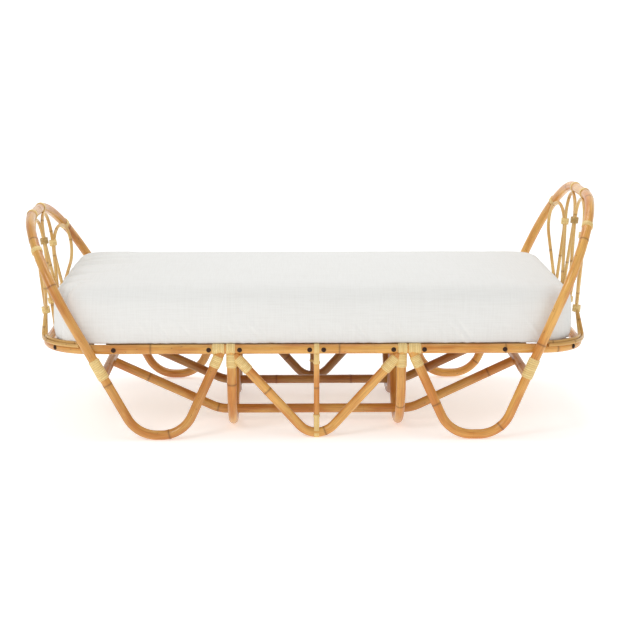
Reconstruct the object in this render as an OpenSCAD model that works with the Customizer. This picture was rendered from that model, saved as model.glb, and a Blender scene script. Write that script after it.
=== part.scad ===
// Rattan daybed: a ring of bent poles on looped legs, with a raised arch at each end,
// a slatted base and a mattress in a fitted sheet. Millimetres, +Z up, floor at Z = 0.
// The head end is at +X and the front is at -Y.

/* [Poles] */
// Diameter of the frame poles
pole_d = 35; // [28:1:42]
// Diameter of the thin canes in the end loops
cane_d = 13; // [10:0.5:16]
// Diameter of the upright in the middle of each long side
rod_d = 21; // [16:1:26]
// Gap left where two poles touch
touch_gap = 0.2; // [0.1:0.05:0.5]

/* [Ring] */
// Height of the side rails' centre line
rail_z = 332; // [300:1:380]
// Distance of each side rail from the middle
rail_y = 460; // [420:1:500]
// Foot end of the ring, from the middle
foot_end = 1000; // [960:1:1050]
// Head end of the ring, from the middle
head_end = 978; // [950:1:1050]
// Bend radius of the foot corners
foot_corner = 180; // [150:1:200]
// Bend radius of the head corners
head_corner = 150; // [140:1:180]
// Distance of each rail joint from the middle
joint_x = 334; // [320:1:350]

/* [Arches] */
// Where the foot arch crosses the rail
foot_cross = 830; // [800:1:850]
// Outward lean of the foot arch, in degrees
foot_lean = 28.8; // [20:0.1:32]
// Height of the foot arch's centre line
foot_top = 780; // [740:1:840]
// Bend radius of the foot arch
foot_bend = 405; // [370:1:420]
// Where the head arch crosses the rail
head_cross = 809; // [790:1:850]
// Outward lean of the head arch, in degrees
head_lean = 22.8; // [18:0.1:28]
// Height of the head arch's centre line
head_top = 858; // [800:1:900]
// Bend radius of the head arch
head_bend = 367; // [340:1:400]

/* [Legs] */
// Where the inner end of each looped leg meets the rail
leg_in_x = 350; // [346:1:370]
// Lean of that inner end, in degrees
leg_in_lean = 24; // [20:0.5:28]
// Bend radius at the foot of each looped leg
leg_bend = 122; // [90:1:124]
// Lean of the V legs from upright, in degrees
v_lean = 42; // [38:0.5:44]
// Bend radius at the bottom of the V
v_bend = 85; // [60:1:100]
// Distance of the hoops from the middle
hoop_x = 311; // [305:1:314]
// Height of the end cross bars' centre line
bar_z = 236; // [220:1:260]
// Where each stretcher bends up, from the middle
stretcher_knee = 365; // [350:1:400]
// Bend radius of the stretchers
stretcher_bend = 145; // [120:1:145]

/* [Loops] */
// Radius of a loop's round top
loop_r = 94; // [85:1:94]
// Distance of the inner loops from the middle
inner_loop_y = 101.5; // [101.5:0.5:110]
// Distance of the foot's outer loops from the middle
foot_outer_y = 285.5; // [285.5:0.5:296]
// Distance of the head's outer loops from the middle
head_outer_y = 291.5; // [291.5:0.5:300]
// Height where the two sides of a loop are tied
tie_z = 445; // [430:1:470]
// How far apart a loop's two ends stand on the ring
tail_spread = 34; // [28:1:60]

/* [Base] */
// Width of the ledger that carries the slats
ledger_w = 30; // [26:1:40]
// Thickness of the slats
slat_t = 11.5; // [9:0.5:14]
// Width of a slat
slat_w = 68; // [50:1:80]
// Number of full-length slats
slat_count = 13; // [9:2:13]
// Width of the corner blocks
block_w = 60; // [50:1:70]
// Diameter of the cross bars above the hoops
hoop_bar_d = 30; // [24:1:32]

/* [Fixings] */
// Diameter of the frame bolts
bolt_d = 6; // [5:0.5:8]
// Diameter of the bolt heads
bolt_head_d = 18; // [14:1:20]
// Diameter of the dowels in the rail joints
dowel_d = 14; // [10:1:18]
// Length of those dowels
dowel_l = 76; // [60:1:80]
// Thickness of the cane bindings
peel_t = 2; // [1.5:0.5:3]

/* [Mattress] */
// Length of the mattress
mattress_l = 1900; // [1800:10:1900]
// Width of the mattress
mattress_w = 900; // [800:10:900]
// Height of the mattress
mattress_h = 200; // [120:5:240]
// Radius of the mattress corners
mattress_corner = 110; // [105:1:120]
// Thickness of the fitted sheet as modelled
sheet_t = 2; // [1:0.5:3]
// How far the sheet's elastic hem goes under
hem_w = 45; // [20:5:45]

/* [Hidden] */

pole_fn = 48;
bend_fn = 96;
// Growth rings of the poles and canes: how far they stand proud, and half their length
pole_ridge = 0.5;
cane_ridge = 0.3;
ring_half = 2.5;
pole_r = pole_d / 2;
cane_r = cane_d / 2;
rod_r = rod_d / 2;
hoop_bar_r = hoop_bar_d / 2;
ring_top = rail_z + pole_r;
// The looped legs stand on their growth rings
leg_z = pole_r + pole_ridge;
// The arch poles pass in front of the rails and touch them
arch_y = rail_y + pole_d + touch_gap;
bolt_hole_d = bolt_d + 0.5;
dowel_hole_d = dowel_d + 0.2;

// The row's origin is under the middle of the whole object
foot_reach = foot_cross + tan(foot_lean) * (foot_top - rail_z) + pole_r;
head_reach = head_cross + tan(head_lean) * (head_top - rail_z) + pole_r;
row_x = (foot_reach - head_reach) / 2;

// Base heights
slat_z = ring_top - slat_t;
ledger_h = 22;
ledger_flange = 12;
ledger_y = rail_y - pole_r;
ledger_half = 770;
slat_half = ledger_y - ledger_flange - 1;
slat_pitch = 118;
end_slat_inset = 92;
end_slat_half = 350;
screw_r = 2;
screw_head_r = 4;
screw_head_t = 2.5;
screw_l = 24;
screw_inset = 8;
hoop_bar_z = slat_z - hoop_bar_r - touch_gap;
hoop_in_y = pole_r + 0.5;
hoop_mid_y = (rail_y + hoop_in_y) / 2;
stretcher_z = pole_r + pole_d + touch_gap;

// Bolt places along a side rail, and the ends' own
bolt_xs = [-740, -393.5, -281, -25.5, 25.5, 281, 393.5, 688];
bolt_head_t = 5;
nut_r = 6;
nut_t = 5;

// Bindings
band_gap = 0.15;
band_w = 12;
// Room between a tie and its canes, which lean a little inside it
tie_ease = 3;
// The ties sit a little below their loops' corners, and the outer ones a little outwards
tie_drop = 4;
tie_shift = 3;
// Room round a cane where an arch band lets it by
band_ease = 6;
wrap_low = 228;
wrap_high = 298;

cane_colour = [0.80, 0.58, 0.31];
loop_colour = [0.83, 0.69, 0.42];
peel_colour = [0.91, 0.80, 0.55];
wood_colour = [0.74, 0.60, 0.42];
bolt_colour = [0.13, 0.10, 0.08];
nut_colour = [0.70, 0.70, 0.72];
foam_colour = [0.93, 0.91, 0.86];
sheet_colour = [0.94, 0.94, 0.92];

// ---- vectors and bent poles ----

function unit(v) = v / norm(v);
function mirror_y(pts) = [for (p = pts) [p[0], -p[1], p[2]]];
function square_to(d) = unit(cross(d, abs(d[2]) < 0.9 ? [0, 0, 1] : [1, 0, 0]));

// Children drawn with the given origin and axes
module frame_at(o, x, y, z) {
    multmatrix([[x[0], y[0], z[0], o[0]],
                [x[1], y[1], z[1], o[1]],
                [x[2], y[2], z[2], o[2]],
                [0, 0, 0, 1]])
        children();
}

module rod_between(a, b, r) {
    d = unit(b - a);
    x = square_to(d);
    frame_at(a, x, cross(d, x), d) cylinder(h = norm(b - a), r = r, $fn = pole_fn);
}

module sleeve_between(a, b, r_in, r_out) {
    difference() {
        rod_between(a, b, r_out);
        rod_between(a - (b - a), b + (b - a), r_in);
    }
}

function turn_at(p, i) =
    (i == 0 || i == len(p) - 1) ? 0
    : acos(max(-1, min(1, unit(p[i] - p[i - 1]) * unit(p[i + 1] - p[i]))));
// Length that the bend at point i takes off each straight beside it
function bend_cut(p, radii, i) = radii[i] * tan(turn_at(p, i) / 2);

// A straight stretch of a bent pole, with a raised growth ring where each bend begins
module ringed_rod(a, b, r, ridge, at_a, at_b) {
    d = unit(b - a);
    reach = d * ring_half;
    if (norm(b - a) < ring_half * 3) {
        rod_between(a - reach, b + reach, r + ridge);
    } else {
        rod_between(a + (at_a ? d : d * 0), b - (at_b ? d : d * 0), r);
        if (at_a) rod_between(a - reach, a + reach, r + ridge);
        if (at_b) rod_between(b - reach, b + reach, r + ridge);
    }
}

// A round pole through the points of p, bent to radii[i] at point i. A ridge of 0 is for a
// pole whose bends lie square to the axes, which needs no rings.
module bent_pole(p, radii, r, ridge = 0) {
    for (i = [0:len(p) - 2]) {
        d = unit(p[i + 1] - p[i]);
        a = p[i] + d * bend_cut(p, radii, i);
        b = p[i + 1] - d * bend_cut(p, radii, i + 1);
        if (ridge > 0) ringed_rod(a, b, r, ridge, i > 0, i < len(p) - 2);
        else if ((b - a) * d > 0.01) rod_between(a, b, r);
    }
    for (i = [1:1:len(p) - 2]) {
        u = unit(p[i] - p[i - 1]);
        w = unit(p[i + 1] - p[i]);
        n = unit(cross(u, w));
        inward = cross(n, u);
        centre = p[i] - u * bend_cut(p, radii, i) + inward * radii[i];
        frame_at(centre, -inward, u, n)
            rotate_extrude(angle = turn_at(p, i), $fn = bend_fn)
                translate([radii[i], 0]) circle(r = r, $fn = pole_fn);
    }
}

module placed() {
    translate([row_x, 0, 0]) children();
}

// Both long sides, the rear one as the front one's mirror image
module both_sides() {
    children();
    mirror([0, 1, 0]) children();
}

// ---- centre lines; end is -1 for the foot and 1 for the head ----

function cross_of(end) = end < 0 ? foot_cross : head_cross;
function lean_of(end) = end < 0 ? foot_lean : head_lean;
function top_of(end) = end < 0 ? foot_top : head_top;
function bend_of(end) = end < 0 ? foot_bend : head_bend;
function end_of(end) = end < 0 ? foot_end : head_end;
function corner_of(end) = end < 0 ? foot_corner : head_corner;
// A point of the leaning plane that holds the arch
function arch_x(end, z) = end * (cross_of(end) + tan(lean_of(end)) * (z - rail_z));
function arch_point(end, y, z) = [arch_x(end, z), y, z];

function arch_leg(end) = [
    [end * leg_in_x, -rail_y, rail_z - pole_r / 2],
    [end * (leg_in_x + tan(leg_in_lean) * (rail_z - leg_z)), -arch_y, leg_z],
    arch_point(end, -arch_y, leg_z)];
function reversed(p) = [for (i = [len(p) - 1:-1:0]) p[i]];
function arch_path(end) = concat(
    arch_leg(end),
    [arch_point(end, -arch_y, top_of(end)), arch_point(end, arch_y, top_of(end))],
    mirror_y(reversed(arch_leg(end))));
function arch_radii(end) = [0, leg_bend, leg_bend, bend_of(end), bend_of(end),
                            leg_bend, leg_bend, 0];
module arch_shape(end) {
    bent_pole(arch_path(end), arch_radii(end), pole_r, pole_ridge);
}

// The straight stretch of an arch pole beside the rail, for cuts
module arch_straight(end, r) {
    rod_between(arch_point(end, -arch_y, pole_d * 2),
                arch_point(end, -arch_y, rail_z + pole_d), r);
}

function ring_path(end) = [
    [end * joint_x, -rail_y, rail_z], [end * end_of(end), -rail_y, rail_z],
    [end * end_of(end), rail_y, rail_z], [end * joint_x, rail_y, rail_z]];
function v_apex_z() = pole_r - v_bend * (1 / sin(v_lean) - 1);
function v_path() = [
    [-hoop_x + pole_r / 2, -rail_y, v_apex_z() + (hoop_x - pole_r / 2) / tan(v_lean)],
    [0, -rail_y, v_apex_z()],
    [hoop_x - pole_r / 2, -rail_y, v_apex_z() + (hoop_x - pole_r / 2) / tan(v_lean)]];
function hoop_path(end) = [
    [end * hoop_x, -rail_y, rail_z - pole_r / 2], [end * hoop_x, -rail_y, pole_r],
    [end * hoop_x, -hoop_in_y, pole_r], [end * hoop_x, -hoop_in_y, hoop_bar_z - pole_r / 2]];
hoop_bend = (rail_y - hoop_in_y) / 2;

// A side rail's straight line, for cuts in what meets it
module rail_line(r) {
    rod_between([-end_of(-1), -rail_y, rail_z], [end_of(1), -rail_y, rail_z], r);
}

// ---- ring ----

module bolt_holes(x_low, x_high) {
    for (x = bolt_xs)
        if (x > x_low && x < x_high)
            translate([x, -rail_y - pole_d, rail_z])
                rotate([-90, 0, 0])
                    cylinder(h = pole_d * 2 + ledger_w, d = bolt_hole_d, $fn = pole_fn);
}

// Children drawn along a corner's 45 degree line, +Z outwards, from the rail's centre line
module at_corner(end) {
    c = corner_of(end);
    d = [end * cos(45), -sin(45), 0];
    o = [end * (end_of(end) - c), -rail_y + c, rail_z] + c * d;
    frame_at(o, [0, 0, 1], cross(d, [0, 0, 1]), d) children();
}

module corner_bolt_hole(end) {
    at_corner(end)
        translate([0, 0, -pole_d - block_w])
            cylinder(h = pole_d * 2 + block_w, d = bolt_hole_d, $fn = pole_fn);
}

module dowel_at(end, d, l) {
    translate([end * joint_x - l / 2, -rail_y, rail_z])
        rotate([0, 90, 0]) cylinder(h = l, d = d, $fn = pole_fn);
}

module end_rail(end) {
    low = end < 0 ? -end_of(end) : joint_x;
    high = end < 0 ? -joint_x : end_of(end);
    color(cane_colour) placed() difference() {
        bent_pole(ring_path(end), [0, corner_of(end), corner_of(end), 0], pole_r);
        both_sides() {
            bolt_holes(low, high);
            corner_bolt_hole(end);
            dowel_at(end, dowel_hole_d, dowel_l + 1);
        }
    }
}

module centre_rail() {
    color(cane_colour) placed() difference() {
        rod_between([-joint_x + touch_gap, -rail_y, rail_z],
                    [joint_x - touch_gap, -rail_y, rail_z], pole_r);
        bolt_holes(-joint_x, joint_x);
        for (end = [-1, 1]) dowel_at(end, dowel_hole_d, dowel_l + 1);
    }
}

module foot_end_rail() { end_rail(-1); }
module head_end_rail() { end_rail(1); }
module front_centre_rail() { centre_rail(); }
module rear_centre_rail() { mirror([0, 1, 0]) centre_rail(); }

// ---- arches and legs ----

module arch_pole(end) {
    color(cane_colour) placed() difference() {
        arch_shape(end);
        both_sides() rail_line(pole_r + touch_gap / 2);
    }
}
module foot_arch_pole() { arch_pole(-1); }
module head_arch_pole() { arch_pole(1); }

module v_leg() {
    color(cane_colour) placed() difference() {
        bent_pole(v_path(), [0, v_bend, 0], pole_r, pole_ridge);
        rail_line(pole_r + touch_gap);
        for (end = [-1, 1])
            rod_between([end * hoop_x, -rail_y, pole_r * 4], [end * hoop_x, -rail_y, ring_top],
                        pole_r + touch_gap);
    }
}
module front_v_leg() { v_leg(); }
module rear_v_leg() { mirror([0, 1, 0]) v_leg(); }

module v_rod() {
    color(cane_colour) placed() difference() {
        rod_between([0, -rail_y, pole_r], [0, -rail_y, rail_z - pole_r / 2], rod_r);
        rail_line(pole_r + touch_gap);
        translate([0, -rail_y, pole_r + v_bend])
            rotate([90, 0, 0]) rotate([0, 0, -135])
                rotate_extrude(angle = 90, $fn = bend_fn)
                    translate([v_bend, 0]) circle(r = pole_r + touch_gap, $fn = pole_fn);
    }
}
module front_v_rod() { v_rod(); }
module rear_v_rod() { mirror([0, 1, 0]) v_rod(); }

module hoop(end) {
    color(cane_colour) placed() difference() {
        bent_pole(hoop_path(end), [0, hoop_bend, hoop_bend, 0], pole_r);
        rail_line(pole_r + touch_gap);
        rod_between([end * hoop_x, -rail_y, hoop_bar_z], [end * hoop_x, rail_y, hoop_bar_z],
                    hoop_bar_r + touch_gap);
    }
}
module foot_front_hoop() { hoop(-1); }
module foot_rear_hoop() { mirror([0, 1, 0]) hoop(-1); }
module head_front_hoop() { hoop(1); }
module head_rear_hoop() { mirror([0, 1, 0]) hoop(1); }

function stretcher_path() = [
    [arch_x(-1, bar_z), -hoop_mid_y, bar_z], [-stretcher_knee, -hoop_mid_y, stretcher_z],
    [stretcher_knee, -hoop_mid_y, stretcher_z], [arch_x(1, bar_z), -hoop_mid_y, bar_z]];

module cross_bar_line(end, r) {
    rod_between([arch_x(end, bar_z), -arch_y, bar_z], [arch_x(end, bar_z), arch_y, bar_z], r);
}

module stretcher() {
    color(cane_colour) placed() difference() {
        bent_pole(stretcher_path(), [0, stretcher_bend, stretcher_bend, 0], pole_r, pole_ridge);
        for (end = [-1, 1]) cross_bar_line(end, pole_r + touch_gap);
    }
}
module front_stretcher() { stretcher(); }
module rear_stretcher() { mirror([0, 1, 0]) stretcher(); }

module cross_bar(end) {
    color(cane_colour) placed() difference() {
        cross_bar_line(end, pole_r);
        both_sides() arch_straight(end, pole_r + touch_gap);
    }
}
module foot_cross_bar() { cross_bar(-1); }
module head_cross_bar() { cross_bar(1); }

// ---- end loops ----

function outer_loop_y(end) = end < 0 ? foot_outer_y : head_outer_y;
// Distance between the centre lines of an arch pole and a cane bound under it
seat = pole_r + cane_r + cane_ridge + touch_gap * 2;
// An outer loop meets its arch at a slant, which takes more room
slant_room = 4.5;
function seat_of(y) = y > inner_loop_y ? seat + slant_room : seat;
// Half the arch's straight top
function arch_flat(end) = arch_y - bend_of(end);
// Angle round the arch's bend where a loop at distance y touches it
function seat_turn(end, y) =
    y <= arch_flat(end) ? 0
    : asin((y - arch_flat(end)) / (bend_of(end) - seat_of(y) - loop_r));
function seat_z(end, y) = top_of(end)
    - (seat_of(y) + (bend_of(end) - seat_of(y)) * (1 - cos(seat_turn(end, y))))
    * cos(lean_of(end));
function seat_y(end, y) = y + loop_r * sin(seat_turn(end, y));
// The same angle, seen in the upright plane
function seat_slope(end, y) = atan(tan(seat_turn(end, y)) * cos(lean_of(end)));
function loop_cy(end, y) = seat_y(end, y) - loop_r * sin(seat_slope(end, y));
function loop_cz(end, y) = seat_z(end, y) - loop_r * cos(seat_slope(end, y));

// The inner loops hang in a plane from the arch's top to the ring's end
function inner_slope(end) =
    (abs(arch_x(end, seat_z(end, inner_loop_y))) - end_of(end))
    / (seat_z(end, inner_loop_y) - ring_top);
function inner_x(end, z) = end_of(end) + inner_slope(end) * (z - ring_top);
// The outer loops' plane runs through the tie, the inner loop's side and the arch
function side_z(end) = (loop_cz(end, inner_loop_y) + loop_cz(end, outer_loop_y(end))) / 2;
function side_y(end) = (inner_loop_y + outer_loop_y(end)) / 2;
outer_tie_y = 245;
inner_tie_y = 82;
function plane_rows(end) =
    let (y = outer_loop_y(end), z1 = seat_z(end, y) - tie_z, y1 = seat_y(end, y) - outer_tie_y,
         x1 = abs(arch_x(end, seat_z(end, y))) - inner_x(end, tie_z),
         z2 = side_z(end) - tie_z, y2 = side_y(end) - outer_tie_y,
         x2 = inner_x(end, side_z(end)) - inner_x(end, tie_z),
         det = z1 * y2 - z2 * y1)
    [(x1 * y2 - x2 * y1) / det, (z1 * x2 - z2 * x1) / det];
function loop_x(end, outer, y, z) =
    !outer ? inner_x(end, z)
    : inner_x(end, tie_z) + plane_rows(end) * [z - tie_z, y - outer_tie_y];
function loop_point(end, outer, y, z) = [end * loop_x(end, outer, y, z), y, z];

// Where the side of a loop, drawn from its tie, meets the level of its top
function shoulder_y(y_tie, cy, cz, side) =
    let (toward = atan2(cy - y_tie, cz - tie_z),
         aside = asin(loop_r / norm([cy - y_tie, cz - tie_z])))
    y_tie + (cz + loop_r - tie_z) * tan(toward + side * aside);

tie_half = cane_r + cane_ridge + touch_gap;
// The two tails of an outer loop lie side by side on the shoulder of the ring's corner. Each
// stands this many degrees outwards from the top of the pole.
tail_lean = [16, 49];
tail_first_turn = 12;
tail_lead = 38;
tail_tip = 10;
function tail_last_turn(end) = end < 0 ? 74 : 80;
function tail_sweep(end, lean) = corner_of(end) + seat * sin(lean);
// Point at an angle round the corner, at distance r from its centre, and then ahead of that
function tail_point(end, lean, turn, r, ahead) =
    let (c = corner_of(end))
    [end * (end_of(end) - c + r * cos(turn) - ahead * sin(turn)),
     rail_y - c + r * sin(turn) + ahead * cos(turn),
     rail_z + seat * cos(lean)];
function outer_tail(end, lean) =
    let (r = tail_sweep(end, lean), last = tail_last_turn(end),
         half = (last - tail_first_turn) / 2)
    [tail_point(end, lean, tail_first_turn, r, -tail_lead),
     tail_point(end, lean, tail_first_turn + half, r / cos(half), 0),
     tail_point(end, lean, last, r, tail_tip)];

function loop_path(end, outer) =
    let (y = outer ? outer_loop_y(end) : inner_loop_y, y_tie = outer ? outer_tie_y : inner_tie_y,
         cy = loop_cy(end, y), cz = loop_cz(end, y), top = cz + loop_r)
    concat(
        outer ? reversed(outer_tail(end, tail_lean[0]))
              : [loop_point(end, false, y_tie - tail_spread, rail_z + pole_r / 2)],
        [loop_point(end, outer, y_tie - tie_half, tie_z),
         loop_point(end, outer, shoulder_y(y_tie - tie_half, cy, cz, -1), top),
         loop_point(end, outer, shoulder_y(y_tie + tie_half, cy, cz, 1), top),
         loop_point(end, outer, y_tie + tie_half, tie_z)],
        outer ? outer_tail(end, tail_lean[1])
              : [loop_point(end, false, y_tie + tail_spread, rail_z + pole_r / 2)]);
tie_bend = 22;
// The outer loop barely turns where it first meets the tie, so it does so slowly
slow_bend = 60;
ring_bend = 30;
// A touch tighter than the round itself, which leaves room for the growth ring at its top
top_bend = loop_r - 1;
function loop_radii(end, outer) = concat(
    outer ? [0, tail_sweep(end, tail_lean[0]), ring_bend] : [0],
    [outer ? slow_bend : tie_bend, top_bend, top_bend, tie_bend],
    outer ? [ring_bend, tail_sweep(end, tail_lean[1]), 0] : [0]);

module loop_shape(end, outer, r) {
    bent_pole(loop_path(end, outer), loop_radii(end, outer), r, cane_ridge);
}

// One loop: 1 and 2 are in front, 3 and 4 behind, 1 and 4 are the outer ones
module end_loop(end, number) {
    outer = number == 1 || number == 4;
    color(loop_colour) placed() mirror([0, number < 3 ? 1 : 0, 0]) difference() {
        loop_shape(end, outer, cane_r);
        rod_between([end * end_of(end), -outer_tie_y, rail_z],
                    [end * end_of(end), outer_tie_y, rail_z], pole_r + touch_gap / 2);
    }
}
module foot_loop_1() { end_loop(-1, 1); }
module foot_loop_2() { end_loop(-1, 2); }
module foot_loop_3() { end_loop(-1, 3); }
module foot_loop_4() { end_loop(-1, 4); }
module head_loop_1() { end_loop(1, 1); }
module head_loop_2() { end_loop(1, 2); }
module head_loop_3() { end_loop(1, 3); }
module head_loop_4() { end_loop(1, 4); }

// ---- base ----

function slat_xs() = [for (i = [0:slat_count - 1]) (i - (slat_count - 1) / 2) * slat_pitch];
function end_slat_x(end) = end * (end_of(end) - end_slat_inset);

module screw_hole(x, y) {
    translate([x, y, slat_z - screw_l]) cylinder(h = screw_l, r = screw_r + 0.1, $fn = 24);
}

// Room in a ledger for the cane bands round the rail
module band_notch(x1, x2) {
    rod_between([x1, -rail_y, rail_z], [x2, -rail_y, rail_z], peel_out + band_gap);
}

module ledger() {
    color(wood_colour) placed() difference() {
        rotate([90, 0, 90])
            translate([0, 0, -ledger_half]) linear_extrude(ledger_half * 2)
                polygon([[-ledger_y, slat_z - ledger_h], [-ledger_y + ledger_w, slat_z - ledger_h],
                         [-ledger_y + ledger_w, slat_z], [-ledger_y + ledger_flange, slat_z],
                         [-ledger_y + ledger_flange, ring_top], [-ledger_y, ring_top]]);
        bolt_holes(-ledger_half, ledger_half);
        for (x = slat_xs()) screw_hole(x, -slat_half + screw_inset);
        for (end = [-1, 1]) band_notch(end * (joint_x - 38), end * (joint_x + 50));
        band_notch(-rod_r - 2, rod_r + 2);
    }
}
module front_ledger() { ledger(); }
module rear_ledger() { mirror([0, 1, 0]) ledger(); }

module hoop_bar(end) {
    reach = ledger_y - ledger_w - touch_gap;
    color(cane_colour) placed()
        rod_between([end * hoop_x, -reach, hoop_bar_z], [end * hoop_x, reach, hoop_bar_z],
                    hoop_bar_r);
}
module foot_hoop_bar() { hoop_bar(-1); }
module head_hoop_bar() { hoop_bar(1); }

module corner_block(end) {
    c = corner_of(end);
    r = c - pole_r - touch_gap;
    difference() {
        translate([end * (end_of(end) - c), -rail_y + c, slat_z - ledger_h])
            linear_extrude(ledger_h)
                intersection() {
                    difference() {
                        circle(r = r, $fn = bend_fn);
                        circle(r = r - block_w, $fn = bend_fn);
                    }
                    translate([end > 0 ? 0 : -r, -r]) square(r);
                }
        corner_bolt_hole(end);
        screw_hole(end_slat_x(end), -end_slat_half + screw_inset);
    }
}
module foot_corner_blocks() { color(wood_colour) placed() both_sides() corner_block(-1); }
module head_corner_blocks() { color(wood_colour) placed() both_sides() corner_block(1); }

// Counterbored hole through a slat
module slat_hole(x, y) {
    translate([x, y, slat_z - 1]) cylinder(h = slat_t + 2, r = screw_r + 0.1, $fn = 24);
    translate([x, y, ring_top - screw_head_t - 0.5])
        cylinder(h = slat_t, r = screw_head_r + 0.2, $fn = 24);
}

module slat(x, half) {
    difference() {
        translate([x - slat_w / 2, -half, slat_z]) cube([slat_w, half * 2, slat_t]);
        both_sides() slat_hole(x, -half + screw_inset);
    }
}

module slats() {
    color(wood_colour) placed() {
        for (x = slat_xs()) slat(x, slat_half);
        for (end = [-1, 1]) slat(end_slat_x(end), end_slat_half);
    }
}

module slat_screw(x, y) {
    translate([x, y, ring_top - 0.5 - screw_l]) cylinder(h = screw_l - 1, r = screw_r, $fn = 24);
    translate([x, y, ring_top - 0.5 - screw_head_t])
        cylinder(h = screw_head_t, r = screw_head_r, $fn = 24);
}

module slat_screws() {
    color(nut_colour) placed() both_sides() {
        for (x = slat_xs()) slat_screw(x, -slat_half + screw_inset);
        for (end = [-1, 1]) slat_screw(end_slat_x(end), -end_slat_half + screw_inset);
    }
}

// ---- fixings ----

module rail_dowels() {
    color(wood_colour) placed() both_sides()
        for (end = [-1, 1]) dowel_at(end, dowel_d, dowel_l);
}

// A domed bolt, head at Z = 0 and shank along -Z, thick wood of depth l behind it
module bolt(l) {
    dome_r = (pow(bolt_head_d / 2, 2) + pow(bolt_head_t, 2)) / (2 * bolt_head_t);
    translate([0, 0, bolt_head_t - dome_r]) intersection() {
        sphere(r = dome_r, $fn = pole_fn);
        translate([0, 0, dome_r - bolt_head_t])
            cylinder(h = bolt_head_t, r = bolt_head_d, $fn = pole_fn);
    }
    translate([0, 0, -l - nut_t - 2]) cylinder(h = l + nut_t + 2, d = bolt_d, $fn = pole_fn);
}

module nut() {
    difference() {
        cylinder(h = nut_t, r = nut_r, $fn = 6);
        translate([0, 0, -1]) cylinder(h = nut_t + 2, d = bolt_d + 0.1, $fn = pole_fn);
    }
}

// Children at each side bolt's place, +Z outwards, from the rail's outer face
module at_side_bolts() {
    for (x = bolt_xs) translate([x, -rail_y - pole_r, rail_z]) rotate([90, 0, 0]) children();
}

side_stack = pole_d + ledger_w;
corner_stack = pole_d + touch_gap + block_w;

module rail_bolts() {
    color(bolt_colour) placed() both_sides() {
        at_side_bolts() bolt(side_stack);
        for (end = [-1, 1]) at_corner(end) translate([0, 0, pole_r]) bolt(corner_stack);
    }
}

module bolt_nuts() {
    color(nut_colour) placed() both_sides() {
        at_side_bolts() translate([0, 0, -side_stack - nut_t - touch_gap]) nut();
        for (end = [-1, 1])
            at_corner(end) translate([0, 0, pole_r - corner_stack - nut_t - touch_gap]) nut();
    }
}

// ---- cane bindings ----

peel_in = pole_r + band_gap;
peel_out = pole_r + band_gap + peel_t;
// Straight line of a looped leg's inner end, at height z
function leg_in_point(end, z) =
    let (a = arch_leg(end)[0], b = arch_leg(end)[1]) a + (b - a) * (a[2] - z) / (a[2] - b[2]);
function v_point(end, z) = [end * (z - v_apex_z()) * tan(v_lean), -rail_y, z];

module leg_wraps() {
    color(peel_colour) placed() both_sides() for (end = [-1, 1]) difference() {
        sleeve_between(arch_point(end, -arch_y, wrap_low), arch_point(end, -arch_y, wrap_high),
                       peel_in, peel_out + 1);
        cross_bar_line(end, pole_r + 2 * band_gap + touch_gap);
    }
}

module leg_top_wraps() {
    color(peel_colour) placed() both_sides() for (end = [-1, 1])
        sleeve_between(leg_in_point(end, 264), leg_in_point(end, 304), peel_in, peel_out);
}

module rail_band(end, near, far) {
    sleeve_between([end * near, -rail_y, rail_z], [end * far, -rail_y, rail_z],
                   peel_in, peel_out);
}

module leg_bands() {
    color(peel_colour) placed() both_sides() for (end = [-1, 1]) difference() {
        rail_band(end, joint_x + 3, joint_x + 48);
        rod_between(leg_in_point(end, 200), leg_in_point(end, rail_z - pole_r / 2), peel_out);
    }
}

module joint_bands() {
    color(peel_colour) placed() both_sides() for (end = [-1, 1]) difference() {
        rail_band(end, joint_x - 36, joint_x - 3);
        rod_between([end * hoop_x, -rail_y, pole_r], [end * hoop_x, -rail_y, rail_z], peel_out);
        rod_between(v_point(end, 200), v_point(end, rail_z), peel_out);
    }
}

module hoop_wraps() {
    color(peel_colour) placed() both_sides() for (end = [-1, 1]) difference() {
        sleeve_between([end * hoop_x, -rail_y, 264], [end * hoop_x, -rail_y, 298],
                       peel_in, peel_out);
        rod_between(v_point(end, 200), v_point(end, rail_z), peel_in);
    }
}

module v_wraps() {
    color(peel_colour) placed() both_sides() for (end = [-1, 1]) difference() {
        sleeve_between(v_point(end, 252), v_point(end, 284), peel_in, peel_out);
        rod_between([end * hoop_x, -rail_y, pole_r], [end * hoop_x, -rail_y, ring_top],
                    peel_out + band_gap);
    }
}

module rod_top_straps() {
    color(peel_colour) placed() both_sides() {
        difference() {
            rail_band(1, -rod_r, rod_r);
            rod_between([0, -rail_y, pole_r], [0, -rail_y, rail_z], rod_r + band_gap);
        }
        difference() {
            sleeve_between([0, -rail_y, 275], [0, -rail_y, ring_top - pole_d],
                           rod_r + band_gap, rod_r + band_gap + peel_t);
            rail_line(peel_out);
        }
    }
}

module rod_foot_straps() {
    color(peel_colour) placed() both_sides()
        sleeve_between([0, -rail_y, pole_d + 3], [0, -rail_y, 84],
                       rod_r + band_gap, rod_r + band_gap + peel_t);
}

// Point of an arch's centre line, at a distance run along it from the middle of its top
function arch_run(end, run) =
    let (turn = max(0, run - arch_flat(end)) / bend_of(end) * 180 / PI)
    arch_point(end, min(run, arch_flat(end)) + bend_of(end) * sin(turn),
               top_of(end) - bend_of(end) * (1 - cos(turn)) * cos(lean_of(end)));
function seat_run(end, y) =
    y <= arch_flat(end) ? y : arch_flat(end) + bend_of(end) * seat_turn(end, y) * PI / 180;
// Point of a loop's round top, turned from its highest
function loop_round(end, y, turn) =
    loop_point(end, y > inner_loop_y, loop_cy(end, y) + loop_r * sin(turn),
               loop_cz(end, y) + loop_r * cos(turn));

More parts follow.
